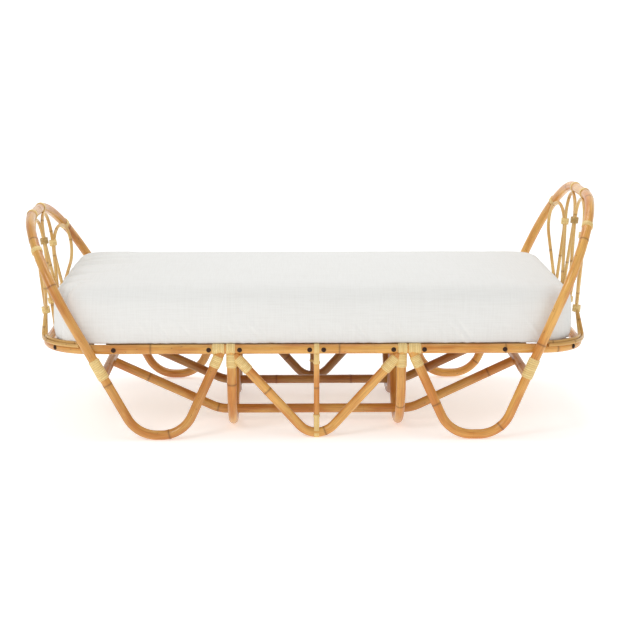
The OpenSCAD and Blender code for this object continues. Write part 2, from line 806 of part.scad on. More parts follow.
module arch_bands(end) {
    color(peel_colour) placed() both_sides() for (y = [inner_loop_y, outer_loop_y(end)]) {
        run = seat_run(end, y);
        slope = seat_slope(end, y);
        touch = loop_round(end, y, slope);
        along = unit(loop_round(end, y, slope + 1) - loop_round(end, y, slope - 1)) * 20;
        difference() {
            sleeve_between(arch_run(end, run - band_w / 2), arch_run(end, run + band_w / 2),
                           peel_in + 0.3, peel_out + 0.3);
            rod_between(touch - along, touch + along, cane_r + cane_ridge + band_ease);
        }
    }
}
module foot_arch_bands() { arch_bands(-1); }
module head_arch_bands() { arch_bands(1); }

// An upright band round two canes side by side along Y, spread apart
module pair_band(x, y, z, spread, w) {
    translate([x, y, z - w / 2]) linear_extrude(w) difference() {
        pair_outline(spread, cane_r + tie_ease + peel_t);
        pair_outline(spread, cane_r + tie_ease);
    }
}

module pair_outline(spread, r) {
    translate([-r, -spread / 2]) square([r * 2, spread]);
    for (side = [-1, 1]) translate([0, side * spread / 2]) circle(r = r, $fn = pole_fn);
}

module loop_ties(end) {
    color(peel_colour) placed() {
        pair_band(end * inner_x(end, loop_cz(end, inner_loop_y)), 0,
                  loop_cz(end, inner_loop_y), 2 * (inner_loop_y - loop_r), band_w);
        both_sides() {
            pair_band(end * inner_x(end, tie_z), -inner_tie_y, tie_z - tie_drop, tie_half * 2 + 2,
                      band_w);
            pair_band(end * inner_x(end, tie_z), -outer_tie_y - tie_shift, tie_z - tie_drop,
                      (tie_half + tie_shift) * 2, band_w);
        }
    }
}
module foot_loop_ties() { loop_ties(-1); }
module head_loop_ties() { loop_ties(1); }

// ---- mattress ----

mattress_x = (head_end - foot_end) / 2;
rest_gap = 0.3;
sheet_bottom = ring_top + rest_gap;
mattress_bottom = sheet_bottom + sheet_t + touch_gap;
inner_h = mattress_h - 2 * sheet_t;

// A block with round upright corners, grown by g on every side
module padded_block(g, h) {
    l = mattress_l + 2 * g;
    w = mattress_w + 2 * g;
    c = mattress_corner + g;
    linear_extrude(h) {
        square([l - 2 * c, w], center = true);
        square([l, w - 2 * c], center = true);
        for (sx = [-1, 1], sy = [-1, 1])
            translate([sx * (l / 2 - c), sy * (w / 2 - c)]) circle(r = c, $fn = bend_fn);
    }
}

module mattress() {
    color(foam_colour) placed()
        translate([mattress_x, 0, mattress_bottom]) padded_block(-sheet_t, inner_h);
}

module fitted_sheet() {
    color(sheet_colour) placed() translate([mattress_x, 0, sheet_bottom]) difference() {
        padded_block(touch_gap, mattress_h + 2 * touch_gap);
        translate([0, 0, sheet_t]) padded_block(touch_gap - sheet_t, inner_h + 2 * touch_gap);
        translate([0, 0, -1]) padded_block(-hem_w, sheet_t + 2);
    }
}

foot_end_rail();
head_end_rail();
front_centre_rail();
rear_centre_rail();
foot_arch_pole();
head_arch_pole();
front_v_leg();
rear_v_leg();
front_v_rod();
rear_v_rod();
foot_front_hoop();
foot_rear_hoop();
head_front_hoop();
head_rear_hoop();
front_stretcher();
rear_stretcher();
foot_cross_bar();
head_cross_bar();
foot_loop_1();
foot_loop_2();
foot_loop_3();
foot_loop_4();
head_loop_1();
head_loop_2();
head_loop_3();
head_loop_4();
front_ledger();
rear_ledger();
foot_hoop_bar();
head_hoop_bar();
foot_corner_blocks();
head_corner_blocks();
slats();
slat_screws();
rail_dowels();
rail_bolts();
bolt_nuts();
leg_wraps();
leg_top_wraps();
leg_bands();
joint_bands();
hoop_wraps();
v_wraps();
rod_top_straps();
rod_foot_straps();
foot_arch_bands();
head_arch_bands();
foot_loop_ties();
head_loop_ties();
mattress();
fitted_sheet();
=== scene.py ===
# %% [markdown]
# # A rattan daybed, built round its CAD frame
# The real bed is a ring of bent poles on looped legs. An arch of the same pole rises at each
# end, thin canes loop between arch and ring, and pale strips of peel bind every joint. This
# lesson makes the poles, the bindings, the mattress and its fitted sheet, and gives every
# part that stays as CAD a finish of its own. The first step loads the frame and keeps its box.

# %% Load the frame
import math

import bmesh
import bpy
import numpy as np
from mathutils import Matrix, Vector, noise


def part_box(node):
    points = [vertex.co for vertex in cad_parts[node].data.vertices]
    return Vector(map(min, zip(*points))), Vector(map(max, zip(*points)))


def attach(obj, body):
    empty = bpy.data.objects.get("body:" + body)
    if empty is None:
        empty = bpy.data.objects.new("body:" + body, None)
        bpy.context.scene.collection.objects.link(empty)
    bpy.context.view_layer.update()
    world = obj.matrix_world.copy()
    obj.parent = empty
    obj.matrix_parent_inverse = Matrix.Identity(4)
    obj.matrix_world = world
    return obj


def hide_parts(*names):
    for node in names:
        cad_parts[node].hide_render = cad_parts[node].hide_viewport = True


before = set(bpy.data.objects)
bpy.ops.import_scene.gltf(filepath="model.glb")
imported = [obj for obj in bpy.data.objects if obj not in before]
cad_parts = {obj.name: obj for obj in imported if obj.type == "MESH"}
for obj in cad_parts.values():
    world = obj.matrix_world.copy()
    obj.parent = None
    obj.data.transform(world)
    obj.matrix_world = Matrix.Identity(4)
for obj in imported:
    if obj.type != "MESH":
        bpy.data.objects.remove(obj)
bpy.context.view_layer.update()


def put(name, data):
    """A new object that holds some data, in the scene."""
    made = bpy.data.objects.new(name, data)
    bpy.context.scene.collection.objects.link(made)
    return made


# %% [markdown]
# ## Writing node trees as sums
# A finish is a recipe: so much of one colour where a pattern is high, so much of another
# where it is low. Node trees say that with boxes and wires. A small class round a socket
# lets the same recipe be written as Python arithmetic, which is easier to read and change.

# %% A socket that does arithmetic
class Socket:
    """An output of a node. Sums on it add Math nodes to its tree."""

    def __init__(self, recipe, out):
        self.recipe, self.out = recipe, out

    def __add__(self, other): return self.recipe.maths("ADD", self, other)
    def __sub__(self, other): return self.recipe.maths("SUBTRACT", self, other)
    def __mul__(self, other): return self.recipe.maths("MULTIPLY", self, other)
    def __truediv__(self, other): return self.recipe.maths("DIVIDE", self, other)
    def __pow__(self, other): return self.recipe.maths("POWER", self, other)
    def __gt__(self, other): return self.recipe.maths("GREATER_THAN", self, other)
    def __rsub__(self, other): return self.recipe.maths("SUBTRACT", other, self)
    def __abs__(self): return self.recipe.maths("ABSOLUTE", self)
    def __neg__(self): return self * -1.0
    __radd__, __rmul__ = __add__, __mul__


class Recipe:
    """A node tree that is written down step by step."""

    def __init__(self, tree):
        self.tree = tree

    def node(self, kind, settings=None, values=None, out=0):
        made = self.tree.nodes.new(kind)
        for name, value in (settings or {}).items():
            if name == "stops":
                ramp = made.color_ramp
                while len(ramp.elements) < len(value):
                    ramp.elements.new(0.5)
                for element, (place, colour) in zip(ramp.elements, value):
                    element.position, element.color = place, (*colour, 1)
            else:
                setattr(made, name, value)
        for name, value in (values or {}).items():
            socket = made.inputs[name]
            if isinstance(value, Socket):
                self.tree.links.new(value.out, socket)
            else:
                socket.default_value = value
        return Socket(self, made.outputs[out])

    def maths(self, operation, *terms):
        return self.node("ShaderNodeMath", {"operation": operation}, dict(enumerate(terms)))

    def vector(self, operation, *terms):
        return self.node("ShaderNodeVectorMath", {"operation": operation},
                         dict(enumerate(terms)))

    def ramp(self, value, low, high, to_low=0.0, to_high=1.0):
        return self.node("ShaderNodeMapRange", {"interpolation_type": "SMOOTHSTEP"},
                         {0: value, 1: low, 2: high, 3: to_low, 4: to_high})

    def mix(self, factor, first, second, blend="MIX"):
        return self.node("ShaderNodeMix", {"data_type": "RGBA", "blend_type": blend},
                         {0: factor, 6: first, 7: second}, out=2)

    def attribute(self, name, out):
        return self.node("ShaderNodeAttribute", {"attribute_name": name}, out=out)

    def noise(self, place, scale, detail=2.0, rough=0.5):
        return self.node("ShaderNodeTexNoise", None,
                         {"Vector": place, "Scale": scale, "Detail": detail,
                          "Roughness": rough})


def colour(red, green, blue):
    """A colour as the eye reads it, 0 to 255, turned into the linear values of a shader."""
    def linear(c):
        c /= 255
        return c / 12.92 if c <= 0.04045 else ((c + 0.055) / 1.055) ** 2.4
    return (linear(red), linear(green), linear(blue), 1.0)


def finish_of(name, base, roughness, depth=0.001, coat=0.0, metallic=0.0, sheen=0.0,
              build=None):
    """A new material. build(recipe) gives the sockets that override the plain values."""
    material = bpy.data.materials.new(name)
    material.use_nodes = True
    tree = material.node_tree
    shader = tree.nodes["Principled BSDF"]
    recipe = Recipe(tree)
    shader.inputs["Base Color"].default_value = base
    shader.inputs["Roughness"].default_value = roughness
    shader.inputs["Metallic"].default_value = metallic
    shader.inputs["Coat Weight"].default_value = coat
    shader.inputs["Coat Roughness"].default_value = 0.12
    shader.inputs["Sheen Weight"].default_value = sheen
    sockets = build(recipe) if build else {}
    for socket, value in sockets.items():
        if socket == "Height":
            bump = recipe.node("ShaderNodeBump", None,
                               {"Height": value, "Distance": depth, "Strength": 1.0})
            tree.links.new(bump.out, shader.inputs["Normal"])
        else:
            tree.links.new(value.out, shader.inputs[socket])
    print("finish", name)
    return material


# %% [markdown]
# ## Varnished rattan
# Rattan is a solid climbing palm. Its skin shows fine streaks along the pole, a darker ring
# where each leaf grew, and small brown freckles, all under clear varnish. Each pole mesh
# carries an attribute that says how far along and round the pole a point is, so the streaks
# follow every bend. A second one says how far the nearest growth ring is, and a third how
# dark this pole is: partly its own tone, since no two stems are the same, and partly painted
# shade on the poles that lie under the bed.

# %% The finish of the poles
def rattan(recipe, pale, warm, dark, streak=1.0):
    place = recipe.attribute("cane", 1)
    ring = recipe.attribute("ring", 2)
    tint = recipe.attribute("tint", 2)
    long_grain = recipe.vector("MULTIPLY", place, (420.0, 420.0, 9.0))
    fine = recipe.noise(long_grain, 1.0, 4.0, 0.6)
    patches = recipe.noise(recipe.vector("MULTIPLY", place, (26.0, 26.0, 5.5)), 1.0, 3.0)
    spots = recipe.noise(recipe.vector("MULTIPLY", place, (95.0, 95.0, 60.0)), 1.0, 2.0, 0.7)
    hues = recipe.mix(recipe.ramp(patches, 0.34, 0.66), pale, warm)
    hues = recipe.mix(recipe.ramp(fine, 0.3, 0.75) * (0.34 * streak), hues, dark)
    freckles = recipe.ramp(spots, 0.66, 0.76) * 0.5
    hues = recipe.mix(freckles, hues, dark)
    scar = recipe.maths("EXPONENT", -(abs(ring) / 0.0035) ** 1.5)
    below = recipe.ramp(ring, 0.0, 0.05, 1.0, 0.0) * (ring > 0.0)
    hues = recipe.mix(below * 0.35, hues, warm)
    hues = recipe.mix(scar * 0.6, hues, dark)
    # The tint mixes in the dark colour: each stem's own tone, plus painted shade on poles under
    # the bed.
    hues = recipe.mix(tint, hues, dark)
    rough = 0.30 + recipe.ramp(patches, 0.3, 0.7) * 0.10 + scar * 0.25
    return {"Base Color": hues, "Roughness": rough, "Height": fine * 0.35 - scar * 0.5}


pole_finish = finish_of(
    "varnished_pole", colour(214, 150, 78), 0.34, coat=0.35, depth=0.0006,
    build=lambda r: rattan(r, colour(242, 184, 94), colour(216, 138, 52),
                           colour(84, 32, 8)))
thin_finish = finish_of(
    "thin_cane", colour(222, 180, 104), 0.38, coat=0.25, depth=0.0004,
    build=lambda r: rattan(r, colour(236, 198, 124), colour(214, 164, 84),
                           colour(120, 70, 26), 0.7))

# %% [markdown]
# ## Peel, steel, timber and linen
# The bindings are strips peeled from the outside of the stem, paler and a little glossy. The
# slats and ledgers are plain sawn wood with its grain along their length. The bolts are
# browned steel, the nuts zinc. The sheet is a plain weave: two sets of threads, one along
# the bed and one across, read from Object coordinates and blended by which way the cloth faces.

# %% The other finishes
def peel(recipe):
    place = recipe.attribute("cane", 1)
    turn = recipe.attribute("turn", 2)
    each = recipe.node("ShaderNodeTexWhiteNoise", {"noise_dimensions": "1D"},
                       {"W": recipe.maths("FLOOR", turn)})
    across = turn - recipe.maths("FLOOR", turn)
    fine = recipe.noise(recipe.vector("MULTIPLY", place, (160.0, 160.0, 900.0)), 1.0, 3.0)
    hues = recipe.mix(each * 0.5, colour(242, 214, 146), colour(222, 182, 104))
    hues = recipe.mix(recipe.ramp(fine, 0.45, 0.8) * 0.4, hues, colour(190, 138, 68))
    seam = recipe.maths("PINGPONG", across, 0.5)
    hues = recipe.mix(recipe.ramp(seam, 0.0, 0.09, 0.75, 0.0), hues, colour(112, 66, 24))
    return {"Base Color": hues, "Height": fine}


def sawn_wood(recipe, axis):
    place = recipe.node("ShaderNodeTexCoord", out=3)
    stretch = [60.0, 60.0, 60.0]
    stretch[axis] = 3.0
    grain = recipe.noise(recipe.vector("MULTIPLY", place, tuple(stretch)), 1.0, 5.0, 0.62)
    pores = recipe.noise(recipe.vector("MULTIPLY", place, tuple(6 * s for s in stretch)),
                         1.0, 2.0)
    hues = recipe.mix(recipe.ramp(grain, 0.3, 0.7), colour(212, 178, 130),
                      colour(172, 128, 80))
    hues = recipe.mix(recipe.ramp(pores, 0.55, 0.8) * 0.35, hues, colour(120, 82, 46))
    return {"Base Color": hues, "Roughness": 0.58 + grain * 0.2, "Height": grain + pores}


def browned_steel(recipe):
    place = recipe.node("ShaderNodeTexCoord", out=3)
    cloud = recipe.noise(place, 320.0, 3.0)
    hues = recipe.mix(recipe.ramp(cloud, 0.35, 0.7), colour(42, 26, 18), colour(74, 48, 34))
    return {"Base Color": hues, "Roughness": 0.32 + cloud * 0.25, "Height": cloud}


def zinc(recipe):
    place = recipe.node("ShaderNodeTexCoord", out=3)
    cloud = recipe.noise(place, 500.0, 2.0)
    hues = recipe.mix(cloud, colour(168, 168, 172), colour(206, 206, 208))
    return {"Base Color": hues, "Roughness": 0.3 + cloud * 0.2}


def woven(recipe, pale, shade, threads, slub=0.5):
    place = recipe.node("ShaderNodeTexCoord", out=3)
    parts = recipe.node("ShaderNodeSeparateXYZ", None, {0: place})
    along_x = parts
    along_y = Socket(recipe, parts.out.node.outputs[1])
    along_z = Socket(recipe, parts.out.node.outputs[2])
    def thread(value, wander):
        return recipe.maths("SINE", (value * threads + wander) * math.tau) * 0.5 + 0.5
    warp = recipe.noise(recipe.vector("MULTIPLY", place, (9.0, 240.0, 240.0)), 1.0, 2.0)
    weft = recipe.noise(recipe.vector("MULTIPLY", place, (240.0, 9.0, 9.0)), 1.0, 2.0)
    weave = (thread(along_x, warp * 0.4) + thread(along_y + along_z, weft * 0.4)) * 0.5
    slubs = recipe.ramp(warp * 0.5 + weft * 0.5, 0.42, 0.62)
    hues = recipe.mix(slubs * slub, pale, shade)
    hues = recipe.mix(weave * 0.10, hues, shade)
    return {"Base Color": hues, "Roughness": 0.80 + weave * 0.12,
            "Height": weave * 0.6 + slubs * 0.4}


peel_finish = finish_of("cane_peel", colour(232, 204, 140), 0.42, coat=0.15, depth=0.0003,
                        build=peel)
rail_wood = finish_of("sawn_wood_along", colour(200, 160, 110), 0.6, depth=0.0004,
                      build=lambda r: sawn_wood(r, 0))
slat_wood = finish_of("sawn_wood_across", colour(200, 160, 110), 0.6, depth=0.0004,
                      build=lambda r: sawn_wood(r, 1))
bolt_finish = finish_of("browned_steel", colour(52, 34, 24), 0.4, metallic=0.6,
                        depth=0.0001, build=browned_steel)
zinc_finish = finish_of("zinc_plate", colour(186, 186, 190), 0.35, metallic=1.0, build=zinc)
linen_finish = finish_of("white_linen", colour(238, 237, 233), 0.85, depth=0.00035,
                         sheen=0.15,
                         build=lambda r: woven(r, colour(237, 237, 234),
                                               colour(226, 225, 221), 620.0, 0.35))
ticking_finish = finish_of("mattress_ticking", colour(236, 233, 224), 0.85, depth=0.0005,
                           build=lambda r: woven(r, colour(240, 237, 228),
                                                 colour(214, 209, 196), 260.0))

# %% [markdown]
# ## The poles' centre lines
# A bent pole is a line with its corners rounded. The joiner marks where the straights would
# meet and bends each corner round a former, and the sums here do the same: corner points
# and bend radii in, evenly spaced points along the finished line out.

# %% Bend a line
def unit(v):
    return v / np.linalg.norm(v)


def bent(corners, radii, step=0.009):
    """Points along a line through the corners, each bent to its radius. Metres."""
    p = [np.array(c, float) for c in corners]
    line, here = [], p[0]
    for i in range(1, len(p)):
        if i == len(p) - 1:
            stop, arc = p[i], []
        else:
            u, w = unit(p[i] - p[i - 1]), unit(p[i + 1] - p[i])
            turn = math.acos(np.clip(u @ w, -1, 1))
            cut = radii[i] * math.tan(turn / 2)
            n = unit(np.cross(u, w))
            centre = p[i] - u * cut + np.cross(n, u) * radii[i]
            stop = p[i] - u * cut
            count = max(3, int(radii[i] * turn / step))
            arc = [centre - np.cross(n, u) * radii[i] * math.cos(turn * k / count)
                   + u * radii[i] * math.sin(turn * k / count) for k in range(1, count + 1)]
        length = np.linalg.norm(stop - here)
        count = max(1, int(length / step))
        if length > 1e-6:
            line += [here + (stop - here) * k / count for k in range(count)]
        if len(arc):
            line.append(stop)
            line += arc[:-1]
            here = arc[-1]
    return np.array(line + [p[-1]])


# %% The frame's measures, in metres
POLE_R, CANE_R, ROD_R, BAR_R = 0.0175, 0.0065, 0.0105, 0.015
GAP = 0.0002
RAIL_Z, RAIL_Y, JOINT_X = 0.332, 0.460, 0.334
ARCH_Y = RAIL_Y + 2 * POLE_R + GAP
BAR_Z, LEG_Z = 0.236, POLE_R + 0.0005
ENDS = {-1: dict(name="foot", cross=0.830, lean=28.8, top=0.780, bend=0.405, end=1.000,
                 corner=0.180, last=74),
        1: dict(name="head", cross=0.809, lean=22.8, top=0.858, bend=0.367, end=0.978,
                corner=0.150, last=80)}
ROW_X = sum(s * -(e["cross"] + math.tan(math.radians(e["lean"])) * (e["top"] - RAIL_Z))
            for s, e in ENDS.items()) / 2
SEAT = POLE_R + CANE_R + 0.0003 + 2 * GAP
LOOP_R, TIE_Z, TAIL_SPREAD = 0.094, 0.445, 0.034
LOOP_Y = {-1: {"inner": 0.1015, "outer": 0.2855}, 1: {"inner": 0.1015, "outer": 0.2915}}
TIE_Y = {"inner": 0.082, "outer": 0.245}
TIE_HALF = CANE_R + 0.0005
HOOP_X, HOOP_IN_Y, HOOP_BAR_Z, HOOP_BAR_Y = 0.311, 0.018, 0.3228, 0.412
STRETCHER_Y, STRETCHER_Z, KNEE, STRETCHER_BEND = 0.239, 0.0527, 0.365, 0.145
LEG_X, LEG_LEAN, LEG_BEND, V_BEND = 0.350, math.radians(24), 0.122, 0.085
# Bends of a loop at its tie, and at the slight turn into an outer one; room for a slanted seat
TIE_BEND, SLOW_BEND, SLANT_ROOM, TAIL_LEAN = 0.022, 0.06, 0.0045, (16, 49)


def arch_x(s, z):
    e = ENDS[s]
    return s * (e["cross"] + math.tan(math.radians(e["lean"])) * (z - RAIL_Z))


def in_row(points):
    """Moves points from the rails' own middle to the shared frame."""
    return np.asarray(points, float) + [ROW_X, 0, 0]


def flip(points):
    return np.asarray(points, float) * [1, -1, 1]


def arch_line(s):
    e = ENDS[s]
    inner = LEG_X + math.tan(LEG_LEAN) * (RAIL_Z - LEG_Z)
    half = [(s * LEG_X, -RAIL_Y, RAIL_Z - POLE_R / 2), (s * inner, -ARCH_Y, LEG_Z),
            (arch_x(s, LEG_Z), -ARCH_Y, LEG_Z), (arch_x(s, e["top"]), -ARCH_Y, e["top"])]
    return bent(np.vstack([half, flip(half[::-1])]),
                [0, LEG_BEND, LEG_BEND, e["bend"], e["bend"], LEG_BEND, LEG_BEND, 0])


def ring_line(s):
    e = ENDS[s]
    half = [(s * JOINT_X, -RAIL_Y, RAIL_Z), (s * e["end"], -RAIL_Y, RAIL_Z)]
    return bent(np.vstack([half, flip(half[::-1])]), [0, e["corner"], e["corner"], 0])


V_LEAN = math.radians(42)
V_APEX = POLE_R - V_BEND * (1 / math.sin(V_LEAN) - 1)


def v_point(s, z):
    return (s * (z - V_APEX) * math.tan(V_LEAN), -RAIL_Y, z)


def v_line():
    top = V_APEX + (HOOP_X - POLE_R / 2) / math.tan(V_LEAN)
    return bent([v_point(-1, top), (0, -RAIL_Y, V_APEX), v_point(1, top)], [0, V_BEND, 0])


def hoop_line(s):
    bend = (RAIL_Y - HOOP_IN_Y) / 2
    return bent([(s * HOOP_X, -RAIL_Y, RAIL_Z - POLE_R / 2), (s * HOOP_X, -RAIL_Y, POLE_R),
                 (s * HOOP_X, -HOOP_IN_Y, POLE_R),
                 (s * HOOP_X, -HOOP_IN_Y, HOOP_BAR_Z - BAR_R)], [0, bend, bend, 0])


def stretcher_line():
    reach = [arch_x(s, BAR_Z) - s * 0.017 for s in (-1, 1)]
    return bent([(reach[0], -STRETCHER_Y, BAR_Z), (-KNEE, -STRETCHER_Y, STRETCHER_Z),
                 (KNEE, -STRETCHER_Y, STRETCHER_Z), (reach[1], -STRETCHER_Y, BAR_Z)],
                [0, STRETCHER_BEND, STRETCHER_BEND, 0])


# %% [markdown]
# ## Where the thin canes run
# Each loop is one cane: up from the ring, round under the arch, and down again. The inner
# two stand in one plane, and the outer two twist forward to meet the leaning arch and then
# sweep along the ring's corner. The round top touches the arch where the two curves have
# the same slope, which fixes its centre.

# %% The loops' lines
def seat_of(y):
    """An outer loop meets its arch at a slant, which takes more room."""
    return SEAT + (SLANT_ROOM if y > 0.2 else 0.0)


def seat_turn(s, y):
    e = ENDS[s]
    flat = ARCH_Y - e["bend"]
    return 0 if y <= flat else math.asin((y - flat) / (e["bend"] - seat_of(y) - LOOP_R))


def loop_seat(s, y):
    """Seat height, seat distance from the middle, and slope there in the upright plane."""
    e, turn = ENDS[s], seat_turn(s, y)
    tilt = math.cos(math.radians(e["lean"]))
    z = e["top"] - (seat_of(y) + (e["bend"] - seat_of(y)) * (1 - math.cos(turn))) * tilt
    return z, y + LOOP_R * math.sin(turn), math.atan(math.tan(turn) * tilt)


def loop_centre(s, y):
    z, seat_y, slope = loop_seat(s, y)
    return seat_y - LOOP_R * math.sin(slope), z - LOOP_R * math.cos(slope)


def inner_x(s, z):
    top = loop_seat(s, LOOP_Y[s]["inner"])[0]
    ring_top = RAIL_Z + POLE_R
    slope = (abs(arch_x(s, top)) - ENDS[s]["end"]) / (top - ring_top)
    return ENDS[s]["end"] + slope * (z - ring_top)


def loops_meet(s):
    """Where the sides of an inner and an outer loop touch: (y, z)."""
    pair = [LOOP_Y[s][kind] for kind in ("inner", "outer")]
    return sum(pair) / 2, sum(loop_centre(s, y)[1] for y in pair) / 2


def loop_x(s, kind, y, z):
    if kind == "inner":
        return inner_x(s, z)
    seat_z, seat_y, _ = loop_seat(s, LOOP_Y[s]["outer"])
    side_y, side_z = loops_meet(s)
    rows = np.linalg.solve(
        [[seat_z - TIE_Z, seat_y - TIE_Y["outer"]], [side_z - TIE_Z, side_y - TIE_Y["outer"]]],
        [abs(arch_x(s, seat_z)) - inner_x(s, TIE_Z), inner_x(s, side_z) - inner_x(s, TIE_Z)])
    return inner_x(s, TIE_Z) + rows @ [z - TIE_Z, y - TIE_Y["outer"]]


def tail(s, lean):
    """The end of an outer loop's cane, along the shoulder of the ring's corner."""
    e = ENDS[s]
    r = e["corner"] + SEAT * math.sin(math.radians(lean))
    z = RAIL_Z + SEAT * math.cos(math.radians(lean))
    first, last = math.radians(12), math.radians(e["last"])
    half = (last - first) / 2
    def at(turn, reach, ahead):
        return (s * (e["end"] - e["corner"] + reach * math.cos(turn) - ahead * math.sin(turn)),
                RAIL_Y - e["corner"] + reach * math.sin(turn) + ahead * math.cos(turn), z)
    return ([at(first, r, -0.038), at(first + half, r / math.cos(half), 0),
             at(last, r, 0.010)], [0.030, r, 0])


def loop_line(s, kind):
    y, tie_y = LOOP_Y[s][kind], TIE_Y[kind]
    cy, cz = loop_centre(s, y)
    top = cz + LOOP_R
    def at(py, pz):
        return (s * loop_x(s, kind, py, pz), py, pz)
    def shoulder(y0, side):
        d = np.array([cy - y0, cz - TIE_Z])
        toward = math.atan2(*d) + side * math.asin(LOOP_R / np.linalg.norm(d))
        return y0 + (top - TIE_Z) * math.tan(toward)
    low, high = tie_y - TIE_HALF, tie_y + TIE_HALF
    middle = [at(low, TIE_Z), at(shoulder(low, -1), top), at(shoulder(high, 1), top),
              at(high, TIE_Z)]
    bends = [SLOW_BEND if kind == "outer" else TIE_BEND, LOOP_R - 0.001, LOOP_R - 0.001,
             TIE_BEND]
    if kind == "inner":
        seat_z = RAIL_Z + POLE_R - 0.002
        return bent([at(tie_y - TAIL_SPREAD, seat_z), *middle, at(tie_y + TAIL_SPREAD, seat_z)],
                    [0, *bends, 0], 0.006)
    (before, before_r), (after, after_r) = (tail(s, lean) for lean in TAIL_LEAN)
    return bent([*before[::-1], *middle, *after], [*before_r[::-1], *bends, *after_r], 0.006)


print("row offset", round(ROW_X, 5))

# %% [markdown]
# ## Growing a cane on a line
# A cane is a round sweep with a swelling at each growth ring. Geometry Nodes does that in
# one tree for every pole: it walks along the line, asks how far the nearest ring is, swells
# the radius there, and sweeps a circle. It also keeps the straightened position of each
# point, the distance to the ring and the pole's tint, which the finish reads.

# %% The tree that grows canes
def new_tree(name, inputs):
    """A node tree with geometry in and out, and its named number inputs."""
    tree = bpy.data.node_groups.new(name, "GeometryNodeTree")
    face = tree.interface
    face.new_socket("Line", in_out="INPUT", socket_type="NodeSocketGeometry")
    face.new_socket("Mesh", in_out="OUTPUT", socket_type="NodeSocketGeometry")
    for title, value in inputs.items():
        face.new_socket(title, in_out="INPUT", socket_type="NodeSocketFloat").default_value = value
    face.new_socket("Finish", in_out="INPUT", socket_type="NodeSocketMaterial")
    recipe = Recipe(tree)
    start = tree.nodes.new("NodeGroupInput")
    ask = {s.name: Socket(recipe, s) for s in start.outputs if s.name}
    return tree, recipe, ask


def end_tree(tree, recipe, mesh, ask):
    real = recipe.node("GeometryNodeRealizeInstances", None, {0: mesh})
    smooth = recipe.node("GeometryNodeSetShadeSmooth", None, {"Geometry": real})
    done = recipe.node("GeometryNodeSetMaterial", None,
                       {"Geometry": smooth, "Material": ask["Finish"]})
    out = tree.nodes.new("NodeGroupOutput")
    tree.links.new(done.out, out.inputs[0])
    return tree


def keep(recipe, geometry, name, kind, value):
    return recipe.node("GeometryNodeStoreNamedAttribute",
                       {"data_type": kind, "domain": "POINT"},
                       {"Geometry": geometry, "Name": name, "Value": value})


def capture(recipe, geometry, kind, value):
    node = recipe.tree.nodes.new("GeometryNodeCaptureAttribute")
    node.capture_items.new(kind, "kept")
    recipe.tree.links.new(geometry.out, node.inputs[0])
    recipe.tree.links.new(value.out, node.inputs[1])
    return Socket(recipe, node.outputs[0]), Socket(recipe, node.outputs[1])


def cane_tree():
    tree, r, ask = new_tree("grow_cane", {
        "Radius": POLE_R, "Ring spacing": 0.33, "Ring height": 0.0009, "Ring half": 0.006,
        "Offset": 0.0, "Tint": 0.0, "Sides": 28.0})
    curve = r.node("GeometryNodeMeshToCurve", None, {0: ask["Line"]})
    along = r.node("GeometryNodeSplineParameter", out=1)
    place = (along + ask["Offset"]) / ask["Ring spacing"]
    cell = r.maths("ROUND", place)
    jitter = r.node("ShaderNodeTexWhiteNoise", {"noise_dimensions": "1D"},
                    {"W": cell + ask["Offset"]})
    ring = (place - cell - (jitter - 0.5) * 0.5) * ask["Ring spacing"]
    lip = r.maths("MAXIMUM", 1.0 - abs(ring) / ask["Ring half"], 0.0)
    wander = r.noise(r.node("ShaderNodeCombineXYZ", None, {2: along + ask["Offset"]}), 7.0)
    radius = ask["Radius"] + lip * ask["Ring height"] + (wander - 0.5) * 0.0006
    curve, radius = capture(r, curve, "FLOAT", radius)
    curve, along = capture(r, curve, "FLOAT", along)
    curve, ring = capture(r, curve, "FLOAT", ring)
    circle = r.node("GeometryNodeCurvePrimitiveCircle", None, {"Radius": 1.0})
    r.tree.links.new(r.maths("ROUND", ask["Sides"]).out, circle.out.node.inputs["Resolution"])
    circle, spot = capture(r, circle, "VECTOR", r.node("GeometryNodeInputPosition"))
    mesh = r.node("GeometryNodeCurveToMesh", None,
                  {0: curve, 1: circle, "Scale": radius, "Fill Caps": True})
    scaled = r.node("ShaderNodeVectorMath", {"operation": "SCALE"},
                    {0: spot, "Scale": ask["Radius"]})
    run = r.node("ShaderNodeCombineXYZ", None, {2: along + ask["Offset"]})
    mesh = keep(r, mesh, "cane", "FLOAT_VECTOR", r.vector("ADD", scaled, run))
    mesh = keep(r, mesh, "ring", "FLOAT", ring)
    mesh = keep(r, mesh, "tint", "FLOAT", ask["Tint"])
    return end_tree(tree, r, mesh, ask)


def line_mesh(name, lines):
    """A mesh that holds only the edges along some lines of points."""
    points, edges = [], []
    for line in lines:
        first = len(points)
        points += [tuple(p) for p in line]
        edges += [(i, i + 1) for i in range(first, len(points) - 1)]
    mesh = bpy.data.meshes.new(name)
    mesh.from_pydata(points, edges, [])
    return mesh


def grow(name, mesh, tree, values, finish):
    """Runs a tree on a mesh and returns the plain mesh that it makes, as a new object."""
    stock = put(name + "_line", mesh)
    growth = stock.modifiers.new("grow", "NODES")
    growth.node_group = tree
    for item in tree.interface.items_tree:
        if item.in_out == "INPUT" and item.name in values:
            growth[item.identifier] = values[item.name]
        if item.in_out == "INPUT" and item.name == "Finish":
            growth[item.identifier] = finish
    graph = bpy.context.evaluated_depsgraph_get()
    grown = bpy.data.meshes.new_from_object(stock.evaluated_get(graph), depsgraph=graph)
    bpy.data.objects.remove(stock)
    return put(name, grown)


def ride_frame(piece, slot, *nodes):
    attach(piece, "frame")
    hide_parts(*nodes)
    return piece


grower = cane_tree()

# %% Every pole of the frame
def crosswise(x, z, reach):
    return [(x, y, z) for y in (-reach, reach)]
